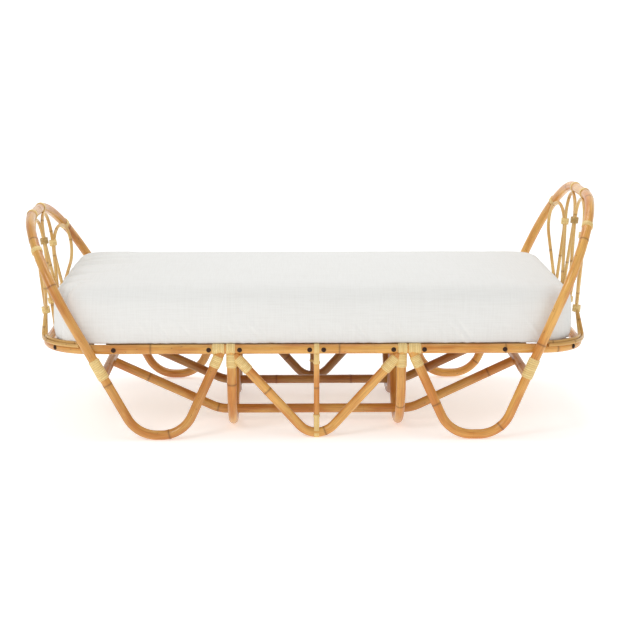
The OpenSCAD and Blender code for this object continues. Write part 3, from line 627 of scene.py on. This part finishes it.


# Each pole: line, radius, tint and ring offset. Small tints are each stem's own tone; the larger
# ones on the stretcher, the cross bars and the hoop bars are painted shade, as these lie under the
# bed.
POLES = {
    "foot_end_rail": (ring_line(-1), POLE_R, 0.10, 0.00),
    "head_end_rail": (ring_line(1), POLE_R, 0.02, 0.37),
    "front_centre_rail": ([(-JOINT_X, -RAIL_Y, RAIL_Z), (JOINT_X, -RAIL_Y, RAIL_Z)],
                          POLE_R, 0.05, 0.61),
    "foot_arch_pole": (arch_line(-1), POLE_R, 0.16, 0.93),
    "head_arch_pole": (arch_line(1), POLE_R, 0.00, 1.41),
    "front_v_leg": (v_line(), POLE_R, 0.04, 2.17),
    "foot_front_hoop": (hoop_line(-1), POLE_R, 0.08, 2.90),
    "head_front_hoop": (hoop_line(1), POLE_R, 0.06, 3.33),
    "front_stretcher": (stretcher_line(), POLE_R, 0.18, 3.80),
    "front_v_rod": ([(0, -RAIL_Y, 0.036), (0, -RAIL_Y, RAIL_Z - 0.014)], ROD_R, 0.0, 4.2),
    "foot_cross_bar": (crosswise(arch_x(-1, BAR_Z), BAR_Z, ARCH_Y), POLE_R, 0.30, 4.8),
    "head_cross_bar": (crosswise(arch_x(1, BAR_Z), BAR_Z, ARCH_Y), POLE_R, 0.22, 5.2),
    "foot_hoop_bar": (crosswise(-HOOP_X, HOOP_BAR_Z, HOOP_BAR_Y), BAR_R, 0.35, 5.7),
    "head_hoop_bar": (crosswise(HOOP_X, HOOP_BAR_Z, HOOP_BAR_Y), BAR_R, 0.35, 6.1)}
# Painted shade: the rear copies lie in the bed's shadow, so their tint is raised by this much.
REAR_PAINTED_SHADE = {"v_leg": 0.66, "v_rod": 0.60, "stretcher": 0.36, "hoop": 0.45, "rail": 0.35}


def evenly(line, step=0.009):
    """The same line with a point about every step."""
    line = np.asarray(line, float)
    if len(line) > 2:
        return line
    count = max(2, int(np.linalg.norm(line[1] - line[0]) / step))
    return line[0] + np.outer(np.linspace(0, 1, count + 1), line[1] - line[0])


def pole(name, line, radius, tint, offset):
    piece = grow(name + "_cane", line_mesh(name, [in_row(evenly(line))]), grower,
                 {"Radius": radius, "Tint": tint, "Offset": offset,
                  "Ring height": 0.0009 if radius > 0.012 else 0.0005}, pole_finish)
    return ride_frame(piece, "cane_pole", name)


for name, (line, radius, tint, offset) in POLES.items():
    pole(name, line, radius, tint, offset)
    if "front" in name:
        # The rear copy is darker by painted shade, for the shadow under the bed.
        darker = next(more for ending, more in REAR_PAINTED_SHADE.items() if name.endswith(ending))
        pole(name.replace("front", "rear"), flip(evenly(line)), radius,
             tint + darker, offset + 0.17)

# %% The thin canes of the end loops
for s, end in ENDS.items():
    for number, kind in ((1, "outer"), (2, "inner"), (3, "inner"), (4, "outer")):
        name = f"{end['name']}_loop_{number}"
        line = loop_line(s, kind)
        line = flip(line) if number < 3 else line
        piece = grow(name + "_cane", line_mesh(name, [in_row(line)]), grower,
                     {"Radius": CANE_R, "Tint": 0.05 * (number % 2), "Offset": 0.31 * number,
                      "Ring height": 0.0004, "Ring spacing": 0.17, "Ring half": 0.004,
                      "Sides": 16.0}, thin_finish)
        ride_frame(piece, "thin_cane", name)
print("loops done")

# %% [markdown]
# ## Winding the bindings
# Peel is wound tightly, turn against turn, so a binding is a sleeve with a spiral of
# half-round ridges. The tree sweeps a fine sleeve along a short line and lifts each point
# by where it falls between two turns. The lift fades at both ends, where the last turn is
# tucked under, and each turn keeps its number, so the finish can vary from turn to turn.

# %% The tree that winds peel
def winding_tree():
    tree, r, ask = new_tree("wind_peel", {"Radius": POLE_R, "Pitch": 0.0046, "Thick": 0.0016,
                                          "Slant": 1.0})
    curve = r.node("GeometryNodeMeshToCurve", None, {0: ask["Line"]})
    curve = r.node("GeometryNodeResampleCurve", {"mode": "LENGTH"},
                   {0: curve, "Length": ask["Pitch"] / 7.0})
    along = r.node("GeometryNodeSplineParameter", out=1)
    share = r.node("GeometryNodeSplineParameter", out=0)
    length = r.node("GeometryNodeSplineLength", out=0)
    edge = r.maths("MINIMUM", along, length * (1.0 - share))
    curve, along = capture(r, curve, "FLOAT", along)
    curve, edge = capture(r, curve, "FLOAT", edge)
    circle = r.node("GeometryNodeCurvePrimitiveCircle", None, {"Resolution": 40, "Radius": 1.0})
    circle, spot = capture(r, circle, "VECTOR", r.node("GeometryNodeInputPosition"))
    mesh = r.node("GeometryNodeCurveToMesh", None,
                  {0: curve, 1: circle, "Scale": ask["Radius"], "Fill Caps": True})
    sides = r.node("ShaderNodeSeparateXYZ", None, {0: spot})
    angle = r.maths("ARCTAN2", Socket(r, sides.out.node.outputs[1]), sides) / math.tau
    turn = along / ask["Pitch"] - angle * ask["Slant"]
    across = (turn - r.maths("FLOOR", turn)) * 2.0 - 1.0
    ridge = r.maths("SQRT", r.maths("MAXIMUM", 1.0 - across * across, 0.0))
    fade = r.ramp(edge, 0.0, ask["Pitch"] * 0.35)
    lift = (ridge * 0.55 + 0.45) * ask["Thick"] * fade
    spread = r.node("ShaderNodeVectorMath", {"operation": "SCALE"},
                    {0: r.node("GeometryNodeInputNormal"), "Scale": lift})
    mesh = r.node("GeometryNodeSetPosition", None, {0: mesh, "Offset": spread})
    run = r.node("ShaderNodeCombineXYZ", None, {2: along})
    mesh = keep(r, mesh, "cane", "FLOAT_VECTOR",
                r.vector("ADD", r.node("GeometryNodeInputPosition"), run))
    mesh = keep(r, mesh, "turn", "FLOAT", turn)
    return end_tree(tree, r, mesh, ask)


winder = winding_tree()


def wound(name, lines, node, radius=POLE_R + 0.0004, pitch=0.0062, thick=0.0022, slant=1.0):
    """A piece made of windings round some short lines, which stands for a CAD node."""
    both = [in_row(line) for line in lines] + [in_row(flip(line)) for line in lines]
    piece = grow(name, line_mesh(name, both), winder,
                 {"Radius": radius, "Pitch": pitch, "Thick": thick, "Slant": slant},
                 peel_finish)
    return ride_frame(piece, "cane_peel", node)


def arch_at(s, z):
    return (arch_x(s, z), -ARCH_Y, z)


def leg_at(s, z):
    inner = math.tan(LEG_LEAN)
    share = (RAIL_Z - POLE_R / 2 - z) / (RAIL_Z - POLE_R / 2 - LEG_Z)
    return (s * (LEG_X + inner * (RAIL_Z - LEG_Z) * share),
            -RAIL_Y + (RAIL_Y - ARCH_Y) * share, z)


def rail_at(x):
    return (x, -RAIL_Y, RAIL_Z)


both_ends = (-1, 1)
wound("leg_wrap_peel", [(arch_at(s, 0.229), arch_at(s, 0.300)) for s in both_ends],
      "leg_wraps", thick=0.0032, pitch=0.0078)
wound("leg_top_peel", [(leg_at(s, 0.266), leg_at(s, 0.306)) for s in both_ends],
      "leg_top_wraps")
wound("leg_band_peel", [(rail_at(s * 0.337), rail_at(s * 0.382)) for s in both_ends],
      "leg_bands", slant=0.4)
wound("joint_band_peel", [(rail_at(s * 0.298), rail_at(s * 0.331)) for s in both_ends],
      "joint_bands", slant=0.4)
wound("hoop_wrap_peel", [((s * HOOP_X, -RAIL_Y, 0.264), (s * HOOP_X, -RAIL_Y, 0.314))
                         for s in both_ends], "hoop_wraps")
wound("v_wrap_peel", [(v_point(s, 0.252), v_point(s, 0.300)) for s in both_ends], "v_wraps")

# %% [markdown]
# ## Bindings on the curves
# The same tree winds round a bend, because it follows any line. The bands on the arches lie
# where the loops touch, and narrow ties hold each pair of canes together.

# %% Bands on the arches and ties on the loops
def arch_run(s, run):
    """Point of an arch's centre line, a distance along it from the middle of its top."""
    e = ENDS[s]
    flat, tilt = ARCH_Y - e["bend"], math.cos(math.radians(e["lean"]))
    turn = max(0.0, run - flat) / e["bend"]
    z = e["top"] - e["bend"] * (1 - math.cos(turn)) * tilt
    return (arch_x(s, z), -(min(run, flat) + e["bend"] * math.sin(turn)), z)


def band_on_arch(s, run, half):
    return [arch_run(s, run + half * k / 4) for k in range(-4, 5)]


def seat_run(s, y):
    flat = ARCH_Y - ENDS[s]["bend"]
    return y if y <= flat else flat + ENDS[s]["bend"] * seat_turn(s, y)


for s, end in ENDS.items():
    inner_run, outer_run = (seat_run(s, LOOP_Y[s][k]) for k in ("inner", "outer"))
    wound(end["name"] + "_arch_band_peel",
          [band_on_arch(s, inner_run, 0.009), band_on_arch(s, outer_run, 0.010)],
          end["name"] + "_arch_bands", POLE_R + 0.0012)
    ties = []
    side_y, side_z = loops_meet(s)
    for y, z, half in ((TIE_Y["inner"], TIE_Z, 0.011),
                       (TIE_Y["outer"] + 0.003, TIE_Z - 0.005, 0.013),
                       (side_y, side_z, 0.012),
                       (0.0, loop_centre(s, LOOP_Y[s]["inner"])[1], 0.012)):
        ties.append([(s * inner_x(s, z + d), -y, z + d) for d in (-half, half)])
    wound(end["name"] + "_loop_tie_peel", ties, end["name"] + "_loop_ties", 0.0142,
          pitch=0.0042, thick=0.0012)

# %% [markdown]
# ## Straps over the rail
# At the middle of each side a flat strap of four strips runs up the rod, over the rail and
# down again, and its like goes under the foot of the V. Each strip is a lens-shaped
# section swept along the strap's own line, which is simple enough to do by hand.

# %% Flat straps
def strips(name, paths, across, width, thick):
    """Strips with a rounded face along paths of points. across is the way their width lies."""
    mesh = bpy.data.meshes.new(name)
    build = bmesh.new()
    across = np.array(across, float)
    profile = [(math.cos(a) * width / 2, abs(math.sin(a)) ** 0.7 * math.copysign(1, math.sin(a))
                * thick / 2) for a in np.linspace(0, math.tau, 14, endpoint=False)]
    values = []
    for number, path in enumerate(paths):
        path = np.asarray(path, float)
        along = np.gradient(path, axis=0)
        rings, run = [], 0.0
        for i, point in enumerate(path):
            up = unit(np.cross(unit(along[i]), across))
            run += np.linalg.norm(path[i] - path[i - 1]) if i else 0.0
            rings.append([build.verts.new(point + across * u + up * v) for u, v in profile])
            values += [(number + 0.5 + 0.9 * u / width, (u, v, run)) for u, v in profile]
        for low, high in zip(rings, rings[1:]):
            for k in range(len(low)):
                build.faces.new((low[k], low[k - 1], high[k - 1], high[k]))
        build.faces.new(rings[0])
        build.faces.new(rings[-1][::-1])
    bmesh.ops.recalc_face_normals(build, faces=build.faces)
    build.to_mesh(mesh)
    mesh.attributes.new("turn", "FLOAT", "POINT").data.foreach_set(
        "value", [v[0] for v in values])
    mesh.attributes.new("cane", "FLOAT_VECTOR", "POINT").data.foreach_set(
        "vector", [c for v in values for c in v[1]])
    mesh.materials.append(peel_finish)
    mesh.shade_smooth()
    return put(name, mesh)


def over_rail(x, low_z, reach):
    """Up the front of the rod, round the rail from front to back, and down inside."""
    r = POLE_R + 0.0012
    front = [(x, -RAIL_Y - reach, z) for z in np.linspace(low_z, RAIL_Z - r - 0.004, 8)]
    round_it = [(x, -RAIL_Y - r * math.cos(a), RAIL_Z + r * math.sin(a))
                for a in np.linspace(-1.1, math.pi - 0.3, 22)]
    return np.array(front + round_it)


def under_foot(x, high_z):
    r = POLE_R + 0.0012
    round_it = [(x, -RAIL_Y + r * math.sin(a), POLE_R - r * math.cos(a))
                for a in np.linspace(1.9, -1.3, 22)]
    front = [(x, -RAIL_Y - ROD_R - 0.0022, z) for z in np.linspace(POLE_R + 0.016, high_z, 8)]
    return np.array(round_it + front)


strip_w = 0.0048
offsets = [(k - 1.5) * strip_w for k in range(4)]
top_paths = [in_row(over_rail(x, 0.277, ROD_R + 0.0022)) for x in offsets]
foot_paths = [in_row(under_foot(x, 0.086)) for x in offsets]
for name, paths, node in (("rod_top_strips", top_paths, "rod_top_straps"),
                          ("rod_foot_strips", foot_paths, "rod_foot_straps")):
    piece = strips(name, paths + [flip(p) for p in paths], (1, 0, 0), strip_w, 0.0018)
    ride_frame(piece, "cane_peel", node)
wound("rod_turns", [[(0, -RAIL_Y, 0.276), (0, -RAIL_Y, 0.286)],
                    [(0, -RAIL_Y, 0.076), (0, -RAIL_Y, 0.086)]],
      "rod_top_straps", ROD_R + 0.0012, thick=0.0016)
print("straps", len(top_paths) + len(foot_paths))

# %% [markdown]
# ## The mattress
# A mattress is a padded block: full, crowned a little, with its sides pushed out between
# their edges. It starts as a rounded block, is remeshed into even squares and blown up as
# cloth with a little pressure. A cap on how far a point may move keeps it the size it was
# bought as.

# %% A rounded block
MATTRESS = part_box("mattress")
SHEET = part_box("fitted_sheet")
middle = (MATTRESS[0] + MATTRESS[1]) / 2
mattress_half = (MATTRESS[1] - MATTRESS[0]) / 2
CORNER, TOP_EDGE, LOW_EDGE, CROWN = 0.105, 0.045, 0.004, 0.020
LOW_BOW, MID_BOW = 0.004, 0.008


def outline(half_x, half_y, corner, count=12):
    """Points round a rectangle with round corners."""
    points = []
    for sx, sy, start in ((1, 1, 0), (-1, 1, 90), (-1, -1, 180), (1, -1, 270)):
        for k in range(count + 1):
            a = math.radians(start + 90 * k / count)
            points.append((sx * (half_x - corner) + corner * math.cos(a),
                           sy * (half_y - corner) + corner * math.sin(a)))
    return points


def padded_block(name):
    """A closed block, its lower edge tight, its upper one full, its sides a little bowed."""
    build = bmesh.new()
    rings = []
    half_x, half_y, half_z = mattress_half
    levels = [(-half_z + LOW_EDGE * (1 + math.sin(a)), LOW_EDGE * (1 - math.cos(a)))
              for a in np.radians(np.linspace(-90, 0, 5))]
    levels += [(z, 0.0) for z in np.linspace(-half_z + 0.025, half_z - TOP_EDGE - 0.01, 8)]
    levels += [(half_z - TOP_EDGE * (1 - math.sin(a)), TOP_EDGE * (1 - math.cos(a)))
               for a in np.radians(np.linspace(0, 90, 9))]
    for z, inset in levels:
        bow = LOW_BOW + MID_BOW * math.cos(z / half_z * math.pi / 2)
        reach = bow - inset
        ring = [build.verts.new((x, y, z)) for x, y in
                outline(half_x + reach, half_y + bow - inset, CORNER + reach)]
        rings.append(ring)
    for low, high in zip(rings, rings[1:]):
        for k in range(len(low)):
            build.faces.new((low[k - 1], low[k], high[k], high[k - 1]))
    build.faces.new(rings[0][::-1])
    build.faces.new(rings[-1])
    bmesh.ops.translate(build, verts=build.verts, vec=middle)
    bmesh.ops.recalc_face_normals(build, faces=build.faces)
    mesh = bpy.data.meshes.new(name)
    build.to_mesh(mesh)
    return put(name, mesh)


def settle(piece):
    """Turns a piece's modifiers into its mesh."""
    graph = bpy.context.evaluated_depsgraph_get()
    done = bpy.data.meshes.new_from_object(piece.evaluated_get(graph), depsgraph=graph)
    piece.modifiers.clear()
    piece.data = done
    return piece


def points_of(mesh, what="co"):
    flat = np.empty(len(mesh.vertices) * 3)
    mesh.vertices.foreach_get(what, flat)
    return flat.reshape(-1, 3)


def set_points(mesh, points):
    mesh.vertices.foreach_set("co", np.ascontiguousarray(points, float).ravel())
    mesh.update()


def blow_up(piece, voxel, cap, pressure=4.0):
    """Even squares, then a short spell as cloth with air in it, with moves capped."""
    remesh = piece.modifiers.new("even", "REMESH")
    remesh.mode, remesh.voxel_size = "VOXEL", voxel
    settle(piece)
    before = points_of(piece.data)
    cloth = piece.modifiers.new("cloth", "CLOTH")
    rules = cloth.settings
    rules.use_pressure, rules.uniform_pressure_force = True, pressure
    rules.effector_weights.gravity = 0
    rules.quality, rules.bending_stiffness = 5, 1.5
    cloth.point_cache.frame_end = 20
    scene = bpy.context.scene
    for frame_number in range(1, 21):
        scene.frame_set(frame_number)
    settle(piece)
    after = points_of(piece.data)
    move = after - before
    far = np.linalg.norm(move, axis=1, keepdims=True)
    after = before + move * np.minimum(1.0, cap / np.maximum(far, 1e-9))
    set_points(piece.data, after)
    scene.frame_set(1)
    return piece


def at_rest(piece):
    """Lays the block flat on its slats and raises its top towards the middle, as filling does."""
    points = points_of(piece.data)
    points[:, 2] = np.maximum(points[:, 2], MATTRESS[0].z)
    local = (points - np.array(middle)) / np.array(mattress_half)
    across = np.clip(1 - local[:, 1] ** 2, 0, 1) * np.clip(1 - local[:, 0] ** 6, 0, 1)
    points[:, 2] += CROWN * across * np.clip(local[:, 2], 0, 1) ** 2
    set_points(piece.data, points)
    return piece


pad = at_rest(blow_up(padded_block("mattress_pad"), 0.0115, 0.005))
print("mattress", len(pad.data.vertices), "points",
      [round(v, 3) for v in points_of(pad.data).max(0) - points_of(pad.data).min(0)])

# %% [markdown]
# ## The fitted sheet
# A fitted sheet is a flat cut with its corners sewn and elastic round its hem, pulled over
# the mattress. So it is the mattress's own surface, a little proud of it, open underneath
# inside the hem. The elastic draws it in: upright gathers rise from the hem and fade on
# their way up, and at the foot end they run on over the edge and along the top.

# %% Cut the sheet from the mattress
def rounded_distance(points):
    """Distance outside the mattress's straight core, and how far round its edge."""
    local = points - np.array(middle)
    core = np.array([mattress_half[0] - CORNER, mattress_half[1] - CORNER])
    over = np.maximum(np.abs(local[:, :2]) - core, 0)
    reach = np.maximum(np.linalg.norm(over, axis=1), 1e-9)
    outward = np.sign(local[:, :2]) * over / reach[:, None]
    return local, reach, outward


def smooth(value, low, high):
    t = np.clip((value - low) / (high - low), 0, 1)
    return t * t * (3 - 2 * t)


def ripple(place, seed, wave):
    """A smooth random wave along one line, from -1 to 1."""
    return np.array([noise.noise(Vector((p / wave, seed, 0.0))) for p in place]) * 1.6


PROUD, GATHER, WAVE, HEM_OUT, HEM = 0.0030, 0.0032, 0.0015, 0.005, 0.045


def gather(points):
    """Upright gathers on the sides, which always stand away from the mattress."""
    local, reach, outward = rounded_distance(points)
    height = (points[:, 2] - SHEET[0].z) / (SHEET[1].z - SHEET[0].z)
    out = np.zeros(len(points))
    on_side = smooth(reach, CORNER - 0.02, CORNER)
    side_x = np.where(np.abs(outward[:, 0]) > np.abs(outward[:, 1]), local[:, 1], local[:, 0])
    place = side_x + 5.0 * np.sign(outward[:, 0]) + 11.0 * np.sign(outward[:, 1])
    low = 1 - smooth(height, 0.05, 0.72)
    strength = 0.35 + 0.65 * np.clip(ripple(place, 3.0, 0.16) + 0.4, 0, 1)
    tops = 0.5 + 0.5 * ripple(place, 9.0, 0.05)
    fade = 1 - smooth(height, 0.18 + 0.25 * tops, 0.5 + 0.35 * tops)
    out += (on_side * low * fade * strength * GATHER
            * (1 + ripple(place + 0.15 * height, 5.0, 0.020)))
    out += (1 + ripple(place, 6.0, 0.11)) * WAVE * on_side * (1 - height)
    return out


def hem_roll(points):
    """Rolls the long sides' elastic hem out over the rail, in shallow scallops."""
    local, reach, outward = rounded_distance(points)
    height = points[:, 2] - SHEET[0].z
    edge = (smooth(reach, CORNER - 0.02, CORNER - 0.006) * (1 - smooth(height, 0.0, 0.03))
            * np.abs(outward[:, 1]) ** 6)
    scallop = 0.7 + 0.3 * ripple(local[:, 0] + local[:, 1], 21.0, 0.045)
    points[:, :2] += outward * (HEM_OUT * edge * scallop)[:, None]
    points[:, 2] -= height * 0.7 * edge
    return points


def soft_line(value, width):
    return np.exp(-(value / width) ** 2)


FOOT_FOLDS = ((-0.30, 0.16, 0.007), (-0.12, 0.26, 0.010), (0.05, 0.34, 0.012),
              (0.19, 0.36, 0.012), (0.31, 0.30, 0.010), (0.40, 0.20, 0.006))


def foot_folds(points):
    """Creases that start in the foot end's hem and run along the top."""
    local = points - np.array(middle)
    from_foot = local[:, 0] + mattress_half[0]
    out = np.zeros(len(points))
    upper = smooth(points[:, 2], SHEET[0].z + 0.06, SHEET[1].z - 0.03)
    for y, length, depth in FOOT_FOLDS:
        bend = y + 0.02 * np.sin(from_foot * 9 + y * 20)
        width = 0.012 + 0.03 * np.clip(from_foot / length, 0, 1)
        fade = (1 - smooth(from_foot, length * 0.25, length)) * upper
        out -= depth * fade * soft_line(local[:, 1] - bend, width)
        out += depth * 0.7 * fade * soft_line(local[:, 1] - bend - width * 1.7, width * 1.2)
    return out


def corner_pinch(points):
    """The deep fold at the front foot corner, from the top edge down the side."""
    local = points - np.array(middle)
    x = local[:, 0] + mattress_half[0]
    y = local[:, 1] + mattress_half[1]
    line = (x - 0.045) - 0.5 * (y - 0.02)
    near = soft_line(line, 0.010) * soft_line(y - 0.035, 0.055) * soft_line(x - 0.07, 0.07)
    high = smooth(points[:, 2], SHEET[1].z - 0.10, SHEET[1].z - 0.015)
    return -0.020 * near * high


def fitted_sheet():
    piece = put("linen_sheet", pad.data.copy())
    finer = piece.modifiers.new("finer", "SUBSURF")
    finer.levels = finer.render_levels = 1
    settle(piece)
    mesh = piece.data
    build = bmesh.new()
    build.from_mesh(mesh)
    inside = [f for f in build.faces
              if f.normal.z < -0.8 and
              all(abs((v.co - middle)[i]) < mattress_half[i] - HEM for v in f.verts
                  for i in (0, 1))]
    bmesh.ops.delete(build, geom=inside, context="FACES")
    build.to_mesh(mesh)
    build.free()
    points, normals = points_of(mesh), points_of(mesh, "normal")
    lift = PROUD + gather(points) + foot_folds(points) + corner_pinch(points)
    local = points - np.array(middle)
    bottom = smooth(-normals[:, 2], 0.3, 0.8)
    lift = lift * (1 - bottom) + 0.0004 * bottom
    points = hem_roll(points + normals * lift[:, None])
    points[:, 2] = np.maximum(points[:, 2], SHEET[0].z)
    set_points(mesh, points)
    return piece


def sink_under_creases():
    """Presses the mattress in where the sheet's creases are deep, so it stays under them."""
    points = points_of(pad.data)
    creases = np.minimum(foot_folds(points) + corner_pinch(points), 0)
    set_points(pad.data, points + points_of(pad.data, "normal") * (creases * 1.2)[:, None])


sheet = fitted_sheet()
sink_under_creases()
for piece, node, slot, finish in ((pad, "mattress", "mattress_ticking", ticking_finish),
                                  (sheet, "fitted_sheet", "linen_sheet", linen_finish)):
    piece.data.materials.clear()
    piece.data.materials.append(finish)
    piece.data.shade_smooth()
    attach(piece, "mattress")
    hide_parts(node)
print("sheet", len(sheet.data.polygons), "faces")

# %% [markdown]
# ## Finishes for the parts that stay as CAD
# The slats, ledgers, blocks, dowels, bolts, nuts and screws have the right shape already,
# so each only gets its finish.

# %% Give them their finishes
CAD_FINISH = {"slats": slat_wood, "foot_corner_blocks": slat_wood,
              "head_corner_blocks": slat_wood, "front_ledger": rail_wood,
              "rear_ledger": rail_wood, "rail_dowels": rail_wood,
              "rail_bolts": bolt_finish, "bolt_nuts": zinc_finish, "slat_screws": zinc_finish}
for name, finish in CAD_FINISH.items():
    for slot_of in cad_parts[name].material_slots:
        slot_of.material = finish
print("CAD parts finished:", len(CAD_FINISH))

# %% [markdown]
# ## Floor, light and camera
# A studio sweep: a pale floor that curves up behind, a broad soft light above and in front,
# and an even pale sky that fills the shadows.

# %% The studio
def glow_floor():
    """A pale sweep that gives back a little light of its own, as a lit backdrop does."""
    finish = finish_of("pale_floor", (0.95, 0.95, 0.95, 1), 0.9)
    shader = finish.node_tree.nodes["Principled BSDF"]
    shader.inputs["Emission Color"].default_value = (1, 1, 1, 1)
    shader.inputs["Emission Strength"].default_value = 0.42
    return finish


def studio_floor():
    across = np.linspace(-9, 9, 13)
    path = [(-9.0, 0.0), (4.0, 0.0)] + [
        (4.0 + 3.0 * math.sin(a), 3.0 - 3.0 * math.cos(a))
        for a in np.linspace(0.1, math.pi / 2, 14)] + [(7.0, 9.0)]
    build = bmesh.new()
    rows = [[build.verts.new((x, y, z)) for x in across] for y, z in path]
    for low, high in zip(rows, rows[1:]):
        for k in range(len(across) - 1):
            build.faces.new((low[k], low[k + 1], high[k + 1], high[k]))
    mesh = bpy.data.meshes.new("studio_floor")
    build.to_mesh(mesh)
    mesh.shade_smooth()
    mesh.materials.append(glow_floor())
    return put("studio_floor", mesh)


studio_floor()
world = bpy.data.worlds.new("pale_sky")
world.use_nodes = True
world.node_tree.nodes["Background"].inputs[0].default_value = (1.0, 1.0, 1.0, 1)
world.node_tree.nodes["Background"].inputs[1].default_value = 0.54
bpy.context.scene.world = world
bpy.context.scene.view_settings.view_transform = "Standard"


def soft_light(name, place, target, size, power):
    lamp = bpy.data.lights.new(name, "AREA")
    lamp.shape, lamp.size, lamp.energy = "DISK", size, power
    holder = put(name, lamp)
    holder.location = place
    holder.rotation_euler = (Vector(target) - Vector(place)).to_track_quat("-Z", "Y").to_euler()
    return holder


soft_light("key", (-2.6, -3.4, 3.2), (0, 0, 0.4), 1.6, 46)
soft_light("fill", (3.2, -3.0, 2.2), (0, 0, 0.4), 2.4, 12)
soft_light("top", (0.3, 0.4, 3.6), (0, 0, 0.4), 2.2, 34)

camera = put("camera", bpy.data.cameras.new("camera"))
camera.data.sensor_width = 36
camera.data.lens = 94.2482
camera.data.clip_end = 100
camera.location = (-0.1099 + ROW_X, -6.2745, 1.6044)
camera.rotation_euler = (math.radians(90 - 11.01), 0, math.radians(-0.88))
bpy.context.scene.camera = camera
